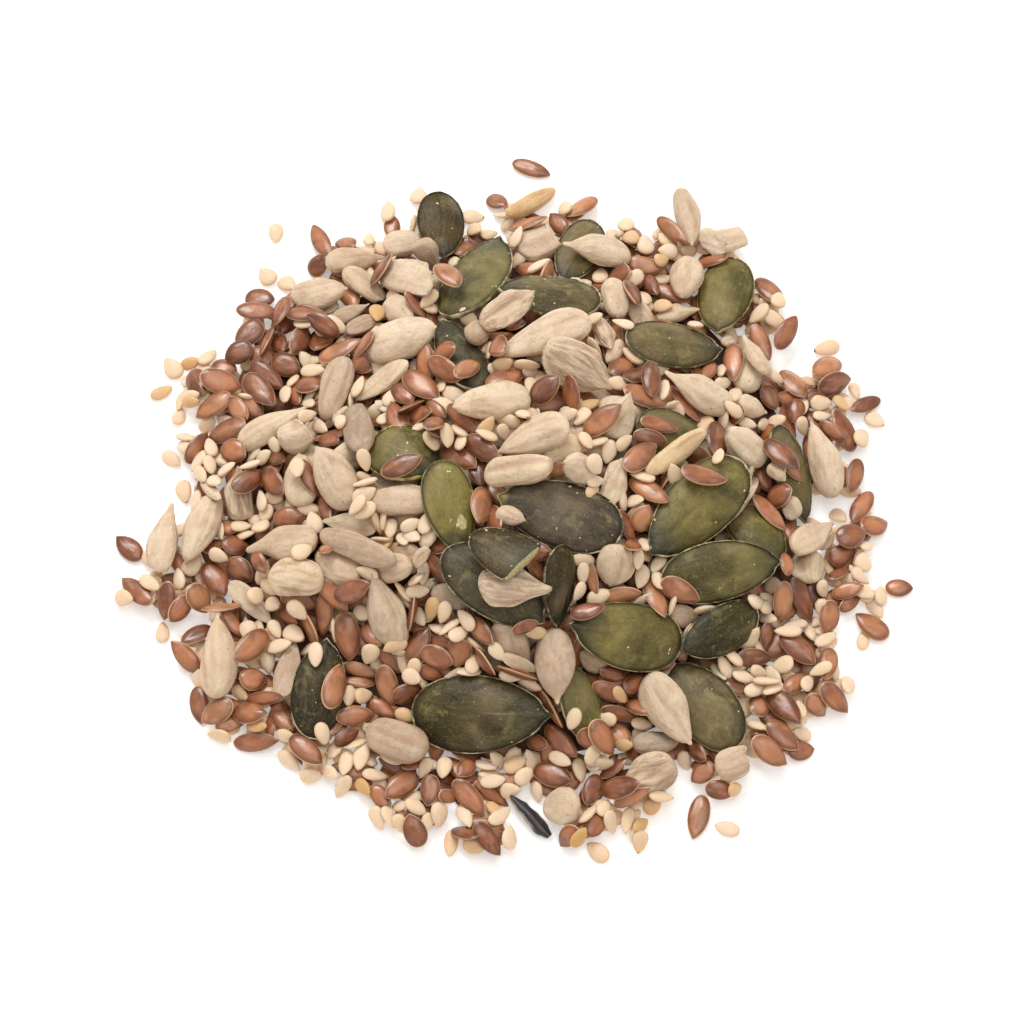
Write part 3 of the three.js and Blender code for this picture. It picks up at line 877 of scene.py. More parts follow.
def kernels(mesh, group, stations, steps, rand):
    n = len(group)
    if not n:
        return
    t = -np.cos(np.linspace(0, np.pi, stations + 2))[1:-1]
    ang = np.arange(steps) * 2 * np.pi / steps
    m = stations * steps + 2
    X = np.concatenate([[-1.0], np.repeat(t, steps), [1.0]])[None]
    A = np.concatenate([[0.0], np.tile(ang, stations), [0.0]])[None]
    faces, uv = [], []
    S = lambda k, i: 1 + k * steps + i % steps
    for i in range(steps):
        faces.append([0, S(0, i + 1), S(0, i), -1])
        uv.append([(0, (i + .5) / steps), ((t[0] + 1) / 2, (i + 1) / steps), ((t[0] + 1) / 2, i / steps), (0, 0)])
    for k in range(stations - 1):
        for i in range(steps):
            faces.append([S(k, i), S(k, i + 1), S(k + 1, i + 1), S(k + 1, i)])
            a, b = (t[k] + 1) / 2, (t[k + 1] + 1) / 2
            uv.append([(a, i / steps), (a, (i + 1) / steps), (b, (i + 1) / steps), (b, i / steps)])
    for i in range(steps):
        faces.append([m - 1, S(stations - 1, i), S(stations - 1, i + 1), -1])
        uv.append([(1, (i + .5) / steps), ((t[-1] + 1) / 2, i / steps), ((t[-1] + 1) / 2, (i + 1) / steps), (0, 0)])
    faces, uv = np.array(faces), np.array(uv, float)
    U = lambda a, b: rand.uniform(a, b, (n, 1))
    looks = np.array([g["look"] for g in group])
    is_ = lambda letters: np.isin(looks, list(letters))[:, None]
    half = np.stack([g["half"] for g in group])
    plump, wrinkled, rough_, crumb, ridged = is_("pa"), is_("w"), is_("bc"), is_("z"), is_("r")
    pick = lambda cond, a, b: np.where(cond, a, b)
    # how wide it is along its length: a body, and a small nub at its narrow end
    blunt = pick(plump, U(0.40, 0.47), U(0.44, 0.52))
    taper = pick(plump, U(0.02, 0.18), U(0.14, 0.34))
    neck = pick(plump, U(0.00, 0.16), U(0.06, 0.40))
    ends_at = pick(plump, U(0.86, 0.97), U(0.76, 0.95))
    body_x = np.clip((X + 1) / (1 + ends_at) * 2 - 1, -1, 1)
    body = np.maximum(1 - body_x ** 2, 0) ** blunt * (1 - taper * body_x) * (1 - neck * smooth((body_x - U(0.0, 0.35)) / 0.75))
    body = body / body.max(1, keepdims=True)
    nub = U(0.13, 0.24) * np.maximum(1 - (np.maximum(X - 0.45, 0) / 0.55) ** 5, 0) ** 0.5 * smooth((X + 0.2) / 0.6)
    prof = (body ** 4 + nub ** 4) ** 0.25
    prof = pick(ridged, np.maximum(1 - np.abs(X) ** 3.0, 0) ** 0.48 * (1 - U(0.05, 0.2) * np.maximum(X, 0) ** 2) * (1 - 0.06 * np.maximum(-X, 0)), prof)
    prof = pick(is_("s"), np.maximum(1 - X ** 2, 0) ** 0.44 * (1 - 0.10 * X), prof)
    prof = pick(crumb, np.maximum(1 - X ** 2, 0) ** 0.42, prof)
    ca, sa = np.cos(A), np.sin(A)
    q = U(2.0, 2.5)
    section = (np.abs(ca) ** q + np.abs(sa) ** q) ** (-1 / q) / (2 ** (0.5 - 1 / q)) ** 0.5
    ends = 1 - X ** 4
    # furrows that run lengthwise, a crease or two, a keel along both edges
    furrow = 0.0
    for k in (4, 6, 9, 12):
        if 2 * k > steps:
            continue
        furrow = furrow + U(0.1, 1.0) * np.cos(k * A + U(0, 6.28) + U(-1.0, 1.0) * X + U(0.0, 0.5) * np.sin(3 * X + U(0, 6)))
    crease = 0.0
    for k in range(4):
        off = (A - U(0, 6.28) - U(-0.5, 0.5) * X - U(-0.15, 0.15) * np.sin(4 * X) + np.pi) % (2 * np.pi) - np.pi
        here = smooth((X - U(-1.1, 0.1)) / 0.3) * smooth((U(0.1, 1.1) - X) / 0.3)
        crease = crease + U(0.2, 1.0) * np.exp(-(off / U(0.10, 0.20)) ** 2) * here
    crease = np.minimum(crease, 1.0) * ends
    side_keel = np.exp(-(sa / 0.20) ** 2)
    section = section + U(-0.05, 0.05) * side_keel * ends
    deep = pick(wrinkled, 0.070, pick(ridged, 0.045, pick(rough_, 0.026, U(0.005, 0.024))))
    section = section + deep * furrow * ends
    section = section - pick(wrinkled | ridged, 0.11, pick(plump, 0.04, 0.05)) * crease
    # from here on crease also marks the furrow floors, as the mask for the painted shade in the creases
    crease = np.maximum(crease, np.clip(-furrow * deep / 0.05, 0, 1) * 0.9 * ends)
    # dents and swellings
    for k in range(5):
        x0, a0 = U(-0.8, 0.75), U(0, 6.28)
        off = (A - a0 + np.pi) % (2 * np.pi) - np.pi
        section = section + pick(rough_ | wrinkled | crumb, 2.0, 1.0) * U(-0.09, 0.055) * np.exp(-((X - x0) / U(0.16, 0.40)) ** 2 - (off / U(0.35, 0.9)) ** 2) * ends
    if stations >= 20:
        # small nicks and bumps
        for k in range(9):
            x0, a0 = U(-0.92, 0.92), U(0, 6.28)
            off = (A - a0 + np.pi) % (2 * np.pi) - np.pi
            section = section + pick(rough_ | wrinkled | ridged, 1.5, 1.0) * U(-0.07, 0.035) * np.exp(-((X - x0) / U(0.06, 0.16)) ** 2 - (off / U(0.22, 0.5)) ** 2) * ends
    side = prof * section
    P = np.stack([X + 0 * side, side * ca, side * sa], 2)
    # flat places where it lay against its neighbours while it dried
    for k in range(5):
        d, lean = U(0, 6.28), U(-0.55, 0.55)
        out = P[..., 1] * np.cos(d) + P[..., 2] * np.sin(d) + lean * P[..., 0]
        limit = out.max(1, keepdims=True) * pick(rough_ | wrinkled | crumb, U(0.55, 0.88), pick(ridged, U(0.62, 0.90), U(0.74, 0.97)))
        over = pick(rough_ | wrinkled | crumb, 0.85, 0.65) * np.maximum(out - limit, 0)
        P[..., 1] -= over * np.cos(d)
        P[..., 2] -= over * np.sin(d)
    lump = pick(wrinkled | rough_, 0.12, 0.06)
    P[..., 1] += lump * wobble(rand, n, 2.0 * X + 0 * side, sa + 0 * side, 0.9, 2.2) * (1 - X ** 4)
    P[..., 2] += lump * wobble(rand, n, 2.0 * X + 0 * side, ca + 0 * side, 0.9, 2.2) * (1 - X ** 4)
    x, y, z = P[..., 0].copy(), P[..., 1].copy(), P[..., 2].copy()
    grain = 0.13 * wobble(rand, n, y, z, 1.5, 4.5) + 0.03 * wobble(rand, n, y, z, 6.0, 11.0)
    raw = np.where(wrinkled, 0.3, 0.0) + np.zeros_like(x)
    # broken across at one end
    cut = U(0.0, 0.5) + U(-0.5, 0.5) * y + U(-0.4, 0.4) * z + grain
    hit = (is_("b") | (crumb & (U(0, 1) < 0.8))) & (x > cut)
    x = np.where(hit, cut + 0.04 * (x - cut), x)
    raw = np.where(hit, 1.0, raw)
    # split along, or with a piece off its side
    cy = U(0.10, 0.55) + U(-0.6, 0.6) * x + grain
    hit = (is_("c") | (crumb & (U(0, 1) < 0.7))) & (y > cy)
    y = np.where(hit, cy + 0.05 * (y - cy), y)
    raw = np.where(hit, 1.0, raw)
    cz = U(0.05, 0.45) + U(-0.35, 0.35) * x + U(-0.3, 0.3) * y + grain
    hit = (is_("c") & (U(0, 1) < 0.6)) & (z > cz)
    z = np.where(hit, cz + 0.05 * (z - cz), z)
    raw = np.where(hit, 1.0, raw)
    z = np.where(is_("h") & (z > 0), z * 0.18 + 0.04 * grain, z)
    # what is left is brought back to the length and width it shows
    for axis, v in ((0, x), (1, y)):
        lo, hi = v.min(1, keepdims=True), v.max(1, keepdims=True)
        v -= (lo + hi) / 2
        v *= np.where(is_("bczh"), 2 / (hi - lo), 1.0)
    P = np.stack([x * half[:, :1], y * half[:, 1:2], z * half[:, 2:3]], 2)
    bend = U(-0.10, 0.16) * (X ** 2 - 0.3)
    P[..., 2] += bend * half[:, 2:3]
    P[..., 1] += U(-0.14, 0.14) * (X ** 2 - 0.3) * half[:, 1:2]
    spin = U(-0.30, 0.30) * X
    yy, zz = P[..., 1].copy(), P[..., 2].copy()
    P[..., 1], P[..., 2] = yy * np.cos(spin) - zz * np.sin(spin), yy * np.sin(spin) + zz * np.cos(spin)
    shift = rand.uniform(0, 400, (n, 1, 3))
    ids = np.stack([rand.random(n), rand.random(n), np.array([tone_of("kernel", g["look"], g["mark"], rand) for g in group])], 1)
    # zone: place along the length, the crease mask of the painted shade, broken faces
    zone = np.stack([X + 0 * side, crease + 0 * side, raw], 2)
    mesh.add(placed(P, group), faces, uv * [0.98, 0.98] + 0.01, P + shift, ids, zone)


shape_rand = np.random.default_rng(7)
pumpkin_mesh = Mesh()
flat_seeds(pumpkin_mesh, "pumpkin", seeds["pumpkin"],
           [.14, .28, .42, .54, .65, .74, .82, .88, .925, .955, .972, .979, .984, .989, .995, 1.0], 72, shape_rand)
kernel_mesh = Mesh()
whole = [s for s in seeds["kernel"] if s["look"] != "z"]
kernels(kernel_mesh, [s for s in whole if s["listed"] and s["look"] == "w"], 32, 48, shape_rand)
whole = [s for s in whole if s["look"] != "w" or not s["listed"]]
kernels(kernel_mesh, [s for s in whole if s["listed"] and s["layer"] >= 1], 28, 36, shape_rand)
kernels(kernel_mesh, [s for s in whole if s["listed"] and s["layer"] < 1], 20, 26, shape_rand)
kernels(kernel_mesh, [s for s in whole if not s["listed"]], 12, 16, shape_rand)
kernels(kernel_mesh, [s for s in seeds["kernel"] if s["look"] == "z"], 8, 12, shape_rand)
flax_mesh = Mesh()
flat_seeds(flax_mesh, "flax", [s for s in seeds["flax"] if s["listed"]], [.30, .56, .76, .90, .965, 1.0], 24, shape_rand)
flat_seeds(flax_mesh, "flax", [s for s in seeds["flax"] if not s["listed"] and s["layer"] >= 0], [.45, .75, .93, 1.0], 18, shape_rand)
flat_seeds(flax_mesh, "flax", [s for s in seeds["flax"] if s["layer"] < 0], [.6, .9, 1.0], 12, shape_rand)
sesame_mesh = Mesh()
flat_seeds(sesame_mesh, "sesame", [s for s in seeds["sesame"] if s["listed"]], [.35, .62, .84, .95, 1.0], 20, shape_rand)
flat_seeds(sesame_mesh, "sesame", [s for s in seeds["sesame"] if not s["listed"] and s["layer"] >= 0], [.45, .78, .94, 1.0], 14, shape_rand)
flat_seeds(sesame_mesh, "sesame", [s for s in seeds["sesame"] if s["layer"] < 0], [.6, .9, 1.0], 10, shape_rand)

pumpkin = pumpkin_mesh.build("pumpkin_seeds")
kernel = kernel_mesh.build("sunflower_kernels")
flax = flax_mesh.build("flax_seeds")
sesame = sesame_mesh.build("sesame_seeds")


# ------------------------------------------------------------ black husk
def husk_piece():
    """A curved sliver of striped husk, leaning on the foot of the heap."""
    u0, v0, u1, v1 = HUSK
    z = 1.6
    p = at_height((u0 + u1) / 2, (v0 + v1) / 2, z)
    a, b = at_height(u0, v0, 2.6), at_height(u1, v1, 0.6)
    for _ in range(3):
        a = at_height(u0, v0, max(ground[cell_of(a[0], a[1])] - 0.2, 0.3))
        b = at_height(u1, v1, max(ground[cell_of(b[0], b[1])] + 0.15, 0.3))
    run = b - a
    length = float(np.linalg.norm(run))
    ax = unit(run)
    side = unit(np.cross(np.array([0, 0, 1.0]), ax))
    up = np.cross(ax, side)
    n, k = 26, 13
    pts, zone = [], []
    for layer in (1, -1):
        for i in range(n):
            t = i / (n - 1)
            w = 0.80 * min(1.0, (t + 0.02) / 0.30) ** 0.7 * (0.84 + 0.22 * t) * (1 - 0.62 * max(t - 0.84, 0) / 0.16)
            w *= 1 + 0.07 * math.sin(11 * t + 1) + 0.05 * math.sin(27 * t)
            lean = -0.22 * max(t - 0.78, 0) / 0.22
            for j in range(k):
                s = -1 + 2 * j / (k - 1)
                arch = 0.62 * (1 - s * s) * math.sin(math.pi * (0.1 + 0.8 * t)) ** 0.7 + 0.25 * math.sin(math.pi * t)
                ridge = 0.05 * math.cos(s * 9 + 1.5 * t) + 0.03 * math.sin(t * 17 + s * 3)
                q = a + ax * (t * length) + side * (s * w - lean + 0.14 * math.sin(3 * t)) + up * (arch + ridge + layer * 0.13 * (1 - 0.7 * abs(s) ** 6))
                pts.append(q)
                zone.append((t, s, layer))
    faces = []
    for layer in range(2):
        o = layer * n * k
        for i in range(n - 1):
            for j in range(k - 1):
                q = [o + i * k + j, o + (i + 1) * k + j, o + (i + 1) * k + j + 1, o + i * k + j + 1]
                faces.append(q if layer == 0 else q[::-1])
    o = n * k
    rim = [i * k for i in range(n)] + [(n - 1) * k + j for j in range(1, k)] + [i * k + k - 1 for i in range(n - 2, -1, -1)] + [j for j in range(k - 2, 0, -1)]
    for i in range(len(rim)):
        a0, b0 = rim[i], rim[(i + 1) % len(rim)]
        faces.append([b0, a0, a0 + o, b0 + o])
    me = bpy.data.meshes.new("husk_sliver")
    me.from_pydata([Vector(p * 0.001) for p in pts], [], faces)
    me.update()
    att = me.attributes.new("seed_zone", "FLOAT_VECTOR", "POINT")
    att.data.foreach_set("vector", np.array(zone, np.float32).ravel())
    att = me.attributes.new("seed_co", "FLOAT_VECTOR", "POINT")
    att.data.foreach_set("vector", (np.array(pts, np.float32)).ravel())
    me.polygons.foreach_set("use_smooth", np.ones(len(me.polygons), bool))
    ob = bpy.data.objects.new("husk_sliver", me)
    bpy.context.scene.collection.objects.link(ob)
    return ob


husk = husk_piece()


# ------------------------------------------------- core between the seeds
def core_piece():
    """What lies under the loose seeds: a lower mound whose surface is broken up like packed seeds."""
    rand = np.random.default_rng(3)
    rings, steps = 64, 220
    pts = [(0.0, 0.0, 0.0)]
    ang = np.arange(steps) * 2 * np.pi / steps
    lim = np.interp(OUT_ANGLE[0] + (ang - OUT_ANGLE[0]) % (2 * np.pi), OUT_ANGLE, OUT_RADIUS)
    # The core ends where the mound is no higher than the seeds above it.
    edge = CORE_EDGE
    xs, ys = [0.0], [0.0]
    for r in range(1, rings + 1):
        q = edge * r / rings
        xs += list(q * lim * np.cos(ang))
        ys += list(q * lim * np.sin(ang))
    xs, ys = np.array(xs), np.array(ys)
    z = np.maximum(mound(xs, ys) * CORE_REST - 1.25, 0.35)
    # packed grains as relief: nearest of many scattered seed centres
    c = rand.uniform(-33, 33, (1500, 2))
    head = rand.uniform(0, np.pi, 1500)
    best = np.zeros(len(xs))
    for k in range(len(c)):
        dx, dy = xs - c[k, 0], ys - c[k, 1]
        near = np.abs(dx) + np.abs(dy) < 3.2
        u = dx[near] * math.cos(head[k]) + dy[near] * math.sin(head[k])
        v = -dx[near] * math.sin(head[k]) + dy[near] * math.cos(head[k])
        best[near] = np.maximum(best[near], 0.8 * np.sqrt(np.maximum(1 - (u / 2.1) ** 2 - (v / 1.15) ** 2, 0)))
    fade = smooth((edge - share_out(xs, ys)) / 0.08)
    z = z + (best - 0.35) * fade
    z = np.maximum(z, 0.2)
    z[-steps:] = 0.2
    top = np.stack([xs, ys, z], 1)
    low = np.stack([xs[-steps:], ys[-steps:], np.full(steps, 0.02)], 1)
    mid = np.array([[0, 0, 0.02]])
    pts = np.concatenate([top, low, mid])
    faces = []
    for i in range(steps):
        n = (i + 1) % steps
        faces.append((0, 1 + i, 1 + n))
    for r in range(rings - 1):
        a, b = 1 + r * steps, 1 + (r + 1) * steps
        for i in range(steps):
            n = (i + 1) % steps
            faces.append((a + i, b + i, b + n, a + n))
    a, b = 1 + (rings - 1) * steps, 1 + rings * steps
    for i in range(steps):
        n = (i + 1) % steps
        faces.append((a + i, b + i, b + n, a + n))
        faces.append((b + n, b + i, len(pts) - 1))
    me = bpy.data.meshes.new("seed_core")
    me.from_pydata([Vector(p * 0.001) for p in pts], [], faces)
    me.update()
    me.polygons.foreach_set("use_smooth", np.ones(len(me.polygons), bool))
    ob = bpy.data.objects.new("seed_core", me)
    bpy.context.scene.collection.objects.link(ob)
    return ob


core = core_piece()


# --------------------------------------------------------------- materials
class Nodes:
    def __init__(self, name, tint=(1.0, 1.0, 1.0)):
        self.tint = tint
        self.mat = bpy.data.materials.new(name)
        self.mat.use_nodes = True
        self.t = self.mat.node_tree
        self.bsdf = self.t.nodes["Principled BSDF"]

    def node(self, kind, **values):
        n = self.t.nodes.new(kind)
        for k, v in values.items():
            setattr(n, k, v)
        return n

    def link(self, a, b):
        self.t.links.new(a, b)

    def attribute(self, name):
        return self.node("ShaderNodeAttribute", attribute_type="GEOMETRY", attribute_name=name).outputs["Vector"]

    def split(self, vector):
        n = self.node("ShaderNodeSeparateXYZ")
        self.link(vector, n.inputs[0])
        return n.outputs

    def stretch(self, vector, scale):
        n = self.node("ShaderNodeMapping")
        n.inputs["Scale"].default_value = scale
        self.link(vector, n.inputs["Vector"])
        return n.outputs[0]

    def noise(self, vector, scale, detail=3.0, rough=0.55, distort=0.0):
        n = self.node("ShaderNodeTexNoise")
        n.inputs["Scale"].default_value = scale
        n.inputs["Detail"].default_value = detail
        n.inputs["Roughness"].default_value = rough
        n.inputs["Distortion"].default_value = distort
        self.link(vector, n.inputs["Vector"])
        return n.outputs["Fac"]

    def ramp(self, fac, *stops, mode="LINEAR"):
        n = self.node("ShaderNodeValToRGB")
        n.color_ramp.interpolation = mode
        e = n.color_ramp.elements
        while len(e) > 1:
            e.remove(e[-1])
        e[0].position = stops[0][0]
        e[0].color = self.shade(stops[0][1])
        for pos, c in stops[1:]:
            e.new(pos).color = self.shade(c)
        self.link(fac, n.inputs[0])
        return n.outputs[0]

    def math(self, op, a, b=None, c=None, clamp=False):
        n = self.node("ShaderNodeMath", operation=op, use_clamp=clamp)
        for i, v in enumerate((a, b, c)):
            if v is None:
                continue
            if isinstance(v, (int, float)):
                n.inputs[i].default_value = v
            else:
                self.link(v, n.inputs[i])
        return n.outputs[0]

    def range(self, v, a, b, c=0.0, d=1.0):
        n = self.node("ShaderNodeMapRange", interpolation_type="SMOOTHSTEP")
        for i, x in enumerate((a, b, c, d)):
            n.inputs[i + 1].default_value = x
        self.link(v, n.inputs[0])
        return n.outputs[0]

    def mix(self, fac, a, b, mode="MIX"):
        n = self.node("ShaderNodeMix", data_type="RGBA", blend_type=mode)
        for key, v in ((0, fac), (6, a), (7, b)):
            if isinstance(v, (int, float)):
                n.inputs[key].default_value = v
            elif isinstance(v, str):
                n.inputs[key].default_value = self.shade(v)
            else:
                self.link(v, n.inputs[key])
        return n.outputs[2]

    def shade(self, c):
        r, g, b, _ = colour(c)
        return (r * self.tint[0], g * self.tint[1], b * self.tint[2], 1.0)

    def bump(self, height, strength, distance, normal=None):
        n = self.node("ShaderNodeBump")
        n.inputs["Strength"].default_value = strength
        n.inputs["Distance"].default_value = distance
        self.link(height, n.inputs["Height"])
        if normal is not None:
            self.link(normal, n.inputs["Normal"])
        return n.outputs[0]

    def glow(self, weight):
        """Light that goes a little way into the seed and comes out warmer."""
        self.bsdf.inputs["Subsurface Weight"].default_value = weight
        self.bsdf.inputs["Subsurface Radius"].default_value = (1.0, 0.62, 0.36)
        self.bsdf.inputs["Subsurface Scale"].default_value = 0.0010

    def finish(self, colour_, rough, normal=None, specular=0.5, coat=0.0):
        self.link(colour_, self.bsdf.inputs["Base Color"])
        if isinstance(rough, (int, float)):
            self.bsdf.inputs["Roughness"].default_value = rough
        else:
            self.link(rough, self.bsdf.inputs["Roughness"])
        if normal is not None:
            self.link(normal, self.bsdf.inputs["Normal"])
        self.bsdf.inputs["Specular IOR Level"].default_value = specular
        if coat:
            self.bsdf.inputs["Coat Weight"].default_value = coat
            self.bsdf.inputs["Coat Roughness"].default_value = 0.3
        return self.mat


def colour(c):
    """#rrggbb as the numbers a shader takes."""
    if not isinstance(c, str):
        return (*c, 1.0) if len(c) == 3 else c
    out = []
    for i in (1, 3, 5):
        v = int(c[i:i + 2], 16) / 255
        out.append(v / 12.92 if v <= 0.04045 else ((v + 0.055) / 1.055) ** 2.4)
    return (*out, 1.0)


def pumpkin_skin():
    m = Nodes("pumpkin_skin", (1.18, 1.165, 0.875))
    co, ids, zone = m.attribute("seed_co"), m.split(m.attribute("seed_id")), m.split(m.attribute("seed_zone"))
    tones = ("#594e4c", "#2f2409", "#453e34", "#322e0e", "#463616", "#675c44", "#3c2e11", "#6a613b", "#6b6342", "#463d27", "#71683a", "#6b6135")
    base = m.ramp(ids[2], *[(i / (len(tones) - 1), t) for i, t in enumerate(tones)])
    # clouds of darker and of duller skin
    cloud = m.noise(co, 0.17, 3, 0.6, 0.5)
    c = m.mix(m.range(cloud, 0.40, 0.60, 0.0, 0.85), base, m.mix(0.74, base, "#0e0902"))
    blotch = m.noise(co, 0.55, 3, 0.62, 0.4)
    c = m.mix(m.range(blotch, 0.48, 0.68, 0.0, 0.62), c, m.mix(0.50, base, "#241c0a"))
    c = m.mix(m.range(blotch, 0.46, 0.30, 0.0, 0.45), c, m.mix(0.45, base, "#a8a070"))
    # painted sheen: greyer, paler patches that stand in for the light's reflection on the skin
    painted_sheen = m.noise(m.stretch(co, (0.6, 1.0, 1.0)), 0.24, 2, 0.5, 0.3)
    c = m.mix(m.range(painted_sheen, 0.52, 0.70, 0.0, 0.48), c, m.mix(0.5, base, "#948274"))
    streak = m.noise(m.stretch(co, (0.16, 1.3, 1.3)), 1.5, 4, 0.62)
    c = m.mix(m.range(streak, 0.45, 0.75, 0.0, 0.22), c, m.mix(0.5, base, "#a89c74"))
    fine = m.noise(m.stretch(co, (0.60, 2.0, 2.0)), 3.0, 3, 0.65, 0.4)
    c = m.mix(m.range(fine, 0.48, 0.75, 0.0, 0.36), c, "#231e10")
    grain = m.noise(co, 4.0, 3, 0.65)
    c = m.mix(m.range(grain, 0.52, 0.74, 0.0, 0.34), c, m.mix(0.5, base, "#b3aa80"))
    # darker and bluer towards the pointed end
    tip = m.math("MULTIPLY", m.range(zone[0], 0.36, 0.92), m.range(ids[0], 0.0, 1.0, 0.50, 1.0))
    tip = m.math("MULTIPLY", tip, m.range(ids[2], 0.90, 1.0, 1.0, 0.0))
    tip = m.math("MULTIPLY", tip, m.range(ids[2], 0.02, 0.06, 0.35, 1.0))
    c = m.mix(m.math("MULTIPLY", tip, 0.85), c, m.mix(m.range(fine, 0.42, 0.64), "#22231f", "#4a493d"))
    # the beak of the brownest one is yellow
    beak = m.math("MULTIPLY", m.range(zone[0], 0.86, 0.97), m.range(ids[2], 0.06, 0.02))
    c = m.mix(m.math("MULTIPLY", beak, 0.85), c, "#a3966a")
    # painted shade darkens the edge of the dome, the rim itself is a thin pale line
    shade = m.math("MULTIPLY", m.range(zone[1], 0.84, 0.96), m.range(zone[1], 0.985, 0.968))
    c = m.mix(m.math("MULTIPLY", shade, 0.62), c, "#120d03")
    ragged = m.math("ADD", zone[1], m.range(m.noise(co, 1.3, 3, 0.6), 0.3, 0.7, -0.010, 0.010))
    line = m.math("MULTIPLY", m.range(ragged, 0.970, 0.980), m.range(ids[1], 0.0, 1.0, 0.50, 1.0))
    patchy = m.range(m.noise(co, 0.50, 4, 0.65), 0.44, 0.60, 0.08, 0.90)
    c = m.mix(m.math("MULTIPLY", line, patchy), c, m.mix(m.range(ids[2], 0.80, 0.95), "#cfc4b2", "#d3c48c"))
    # pale flecks of skin
    fleck = m.range(m.noise(co, 1.7, 1.5, 0.5), 0.735, 0.755)
    c = m.mix(m.math("MULTIPLY", fleck, 0.85), c, "#d6cdae")
    bare = m.math("ADD", zone[2], m.math("MULTIPLY", m.noise(co, 1.5, 3, 0.6), 0.5))
    c = m.mix(m.math("MULTIPLY", m.range(bare, 0.88, 0.95), 0.90), c, m.mix(m.range(fine, 0.35, 0.65), "#948763", "#c4bba2"))
    rough = m.range(fine, 0.3, 0.7, 0.36, 0.54)
    n = m.bump(streak, 0.30, 0.00016)
    n = m.bump(fine, 0.40, 0.00010, n)
    n = m.bump(blotch, 0.40, 0.00030, n)
    n = m.bump(bare, 0.50, 0.00020, n)
    return m.finish(c, rough, n, 0.30)


def kernel_skin():
    m = Nodes("kernel_skin", (1.015, 1.075, 1.135))
    co, ids, zone = m.attribute("seed_co"), m.split(m.attribute("seed_id")), m.split(m.attribute("seed_zone"))
    base = m.ramp(ids[2], (0.0, "#cb9c5a"), (0.12, "#d8b98c"), (0.26, "#dac2a4"), (0.46, "#d2b798"), (0.64, "#bfa387"), (0.82, "#a58c72"), (1.0, "#8d7b66"))
    c = m.mix(m.math("MULTIPLY", ids[0], 0.25), base, "#e0cbb0")
    cloud = m.noise(co, 0.42, 3, 0.6, 0.3)
    c = m.mix(m.range(cloud, 0.44, 0.68, 0.0, 0.62), c, m.mix(0.55, base, "#a17c60"))
    rosy = m.noise(co, 0.30, 2, 0.5)
    c = m.mix(m.range(rosy, 0.50, 0.70, 0.0, 0.35), c, m.mix(0.5, base, "#d0a68c"))
    streak = m.noise(m.stretch(co, (0.50, 1.2, 1.2)), 0.95, 3, 0.55, 1.2)
    c = m.mix(m.range(streak, 0.52, 0.74, 0.0, 0.30), c, "#a37c5a")
    light = m.noise(m.stretch(co, (0.65, 1.2, 1.2)), 0.85, 4, 0.65, 1.0)
    c = m.mix(m.range(light, 0.46, 0.68, 0.0, 0.36), c, m.mix(0.5, base, "#ece0d0"))
    mottle = m.noise(co, 2.4, 4, 0.65)
    c = m.mix(m.range(mottle, 0.50, 0.70, 0.0, 0.26), c, m.mix(0.6, base, "#98734f"))
    c = m.mix(m.range(mottle, 0.48, 0.32, 0.0, 0.16), c, m.mix(0.5, base, "#ece0d0"))
    # painted shade: darker brown along the creases and furrow floors
    c = m.mix(m.math("MULTIPLY", zone[1], 0.50), c, "#94694a")
    # the nub at the pointed end is a little browner
    nub = m.math("MULTIPLY", m.range(zone[0], 0.86, 0.99), m.range(ids[1], 0.3, 0.9, 0.0, 0.6))
    c = m.mix(nub, c, "#8a694a")
    speck = m.range(m.noise(co, 2.6, 1.0, 0.4), 0.70, 0.76)
    c = m.mix(m.math("MULTIPLY", speck, 0.40), c, "#765438")
    c = m.mix(m.math("MULTIPLY", m.range(zone[2], 0.5, 0.9), 0.45), c, "#e6d6ba")
    rough = m.range(cloud, 0.3, 0.7, 0.42, 0.60)
    # fine lines that run lengthwise, strong on the shrivelled ones
    shrivelled = m.math("MULTIPLY", m.range(zone[2], 0.05, 0.25), m.range(zone[2], 0.6, 0.4))
    lines = m.noise(m.stretch(co, (0.24, 1.5, 1.5)), 1.1, 3, 0.5, 0.4)
    c = m.mix(m.math("MULTIPLY", m.range(lines, 0.48, 0.36), m.math("MULTIPLY", shrivelled, 0.45)), c, "#8f6a4c")
    n = m.bump(m.math("MULTIPLY", lines, m.math("ADD", shrivelled, 0.14)), 0.60, 0.00090)
    n = m.bump(streak, 0.35, 0.00026, n)
    n = m.bump(m.noise(m.stretch(co, (0.8, 1.1, 1.1)), 2.0, 5, 0.7), 0.60, 0.00022, n)
    m.glow(0.5)
    return m.finish(c, rough, n, 0.36)


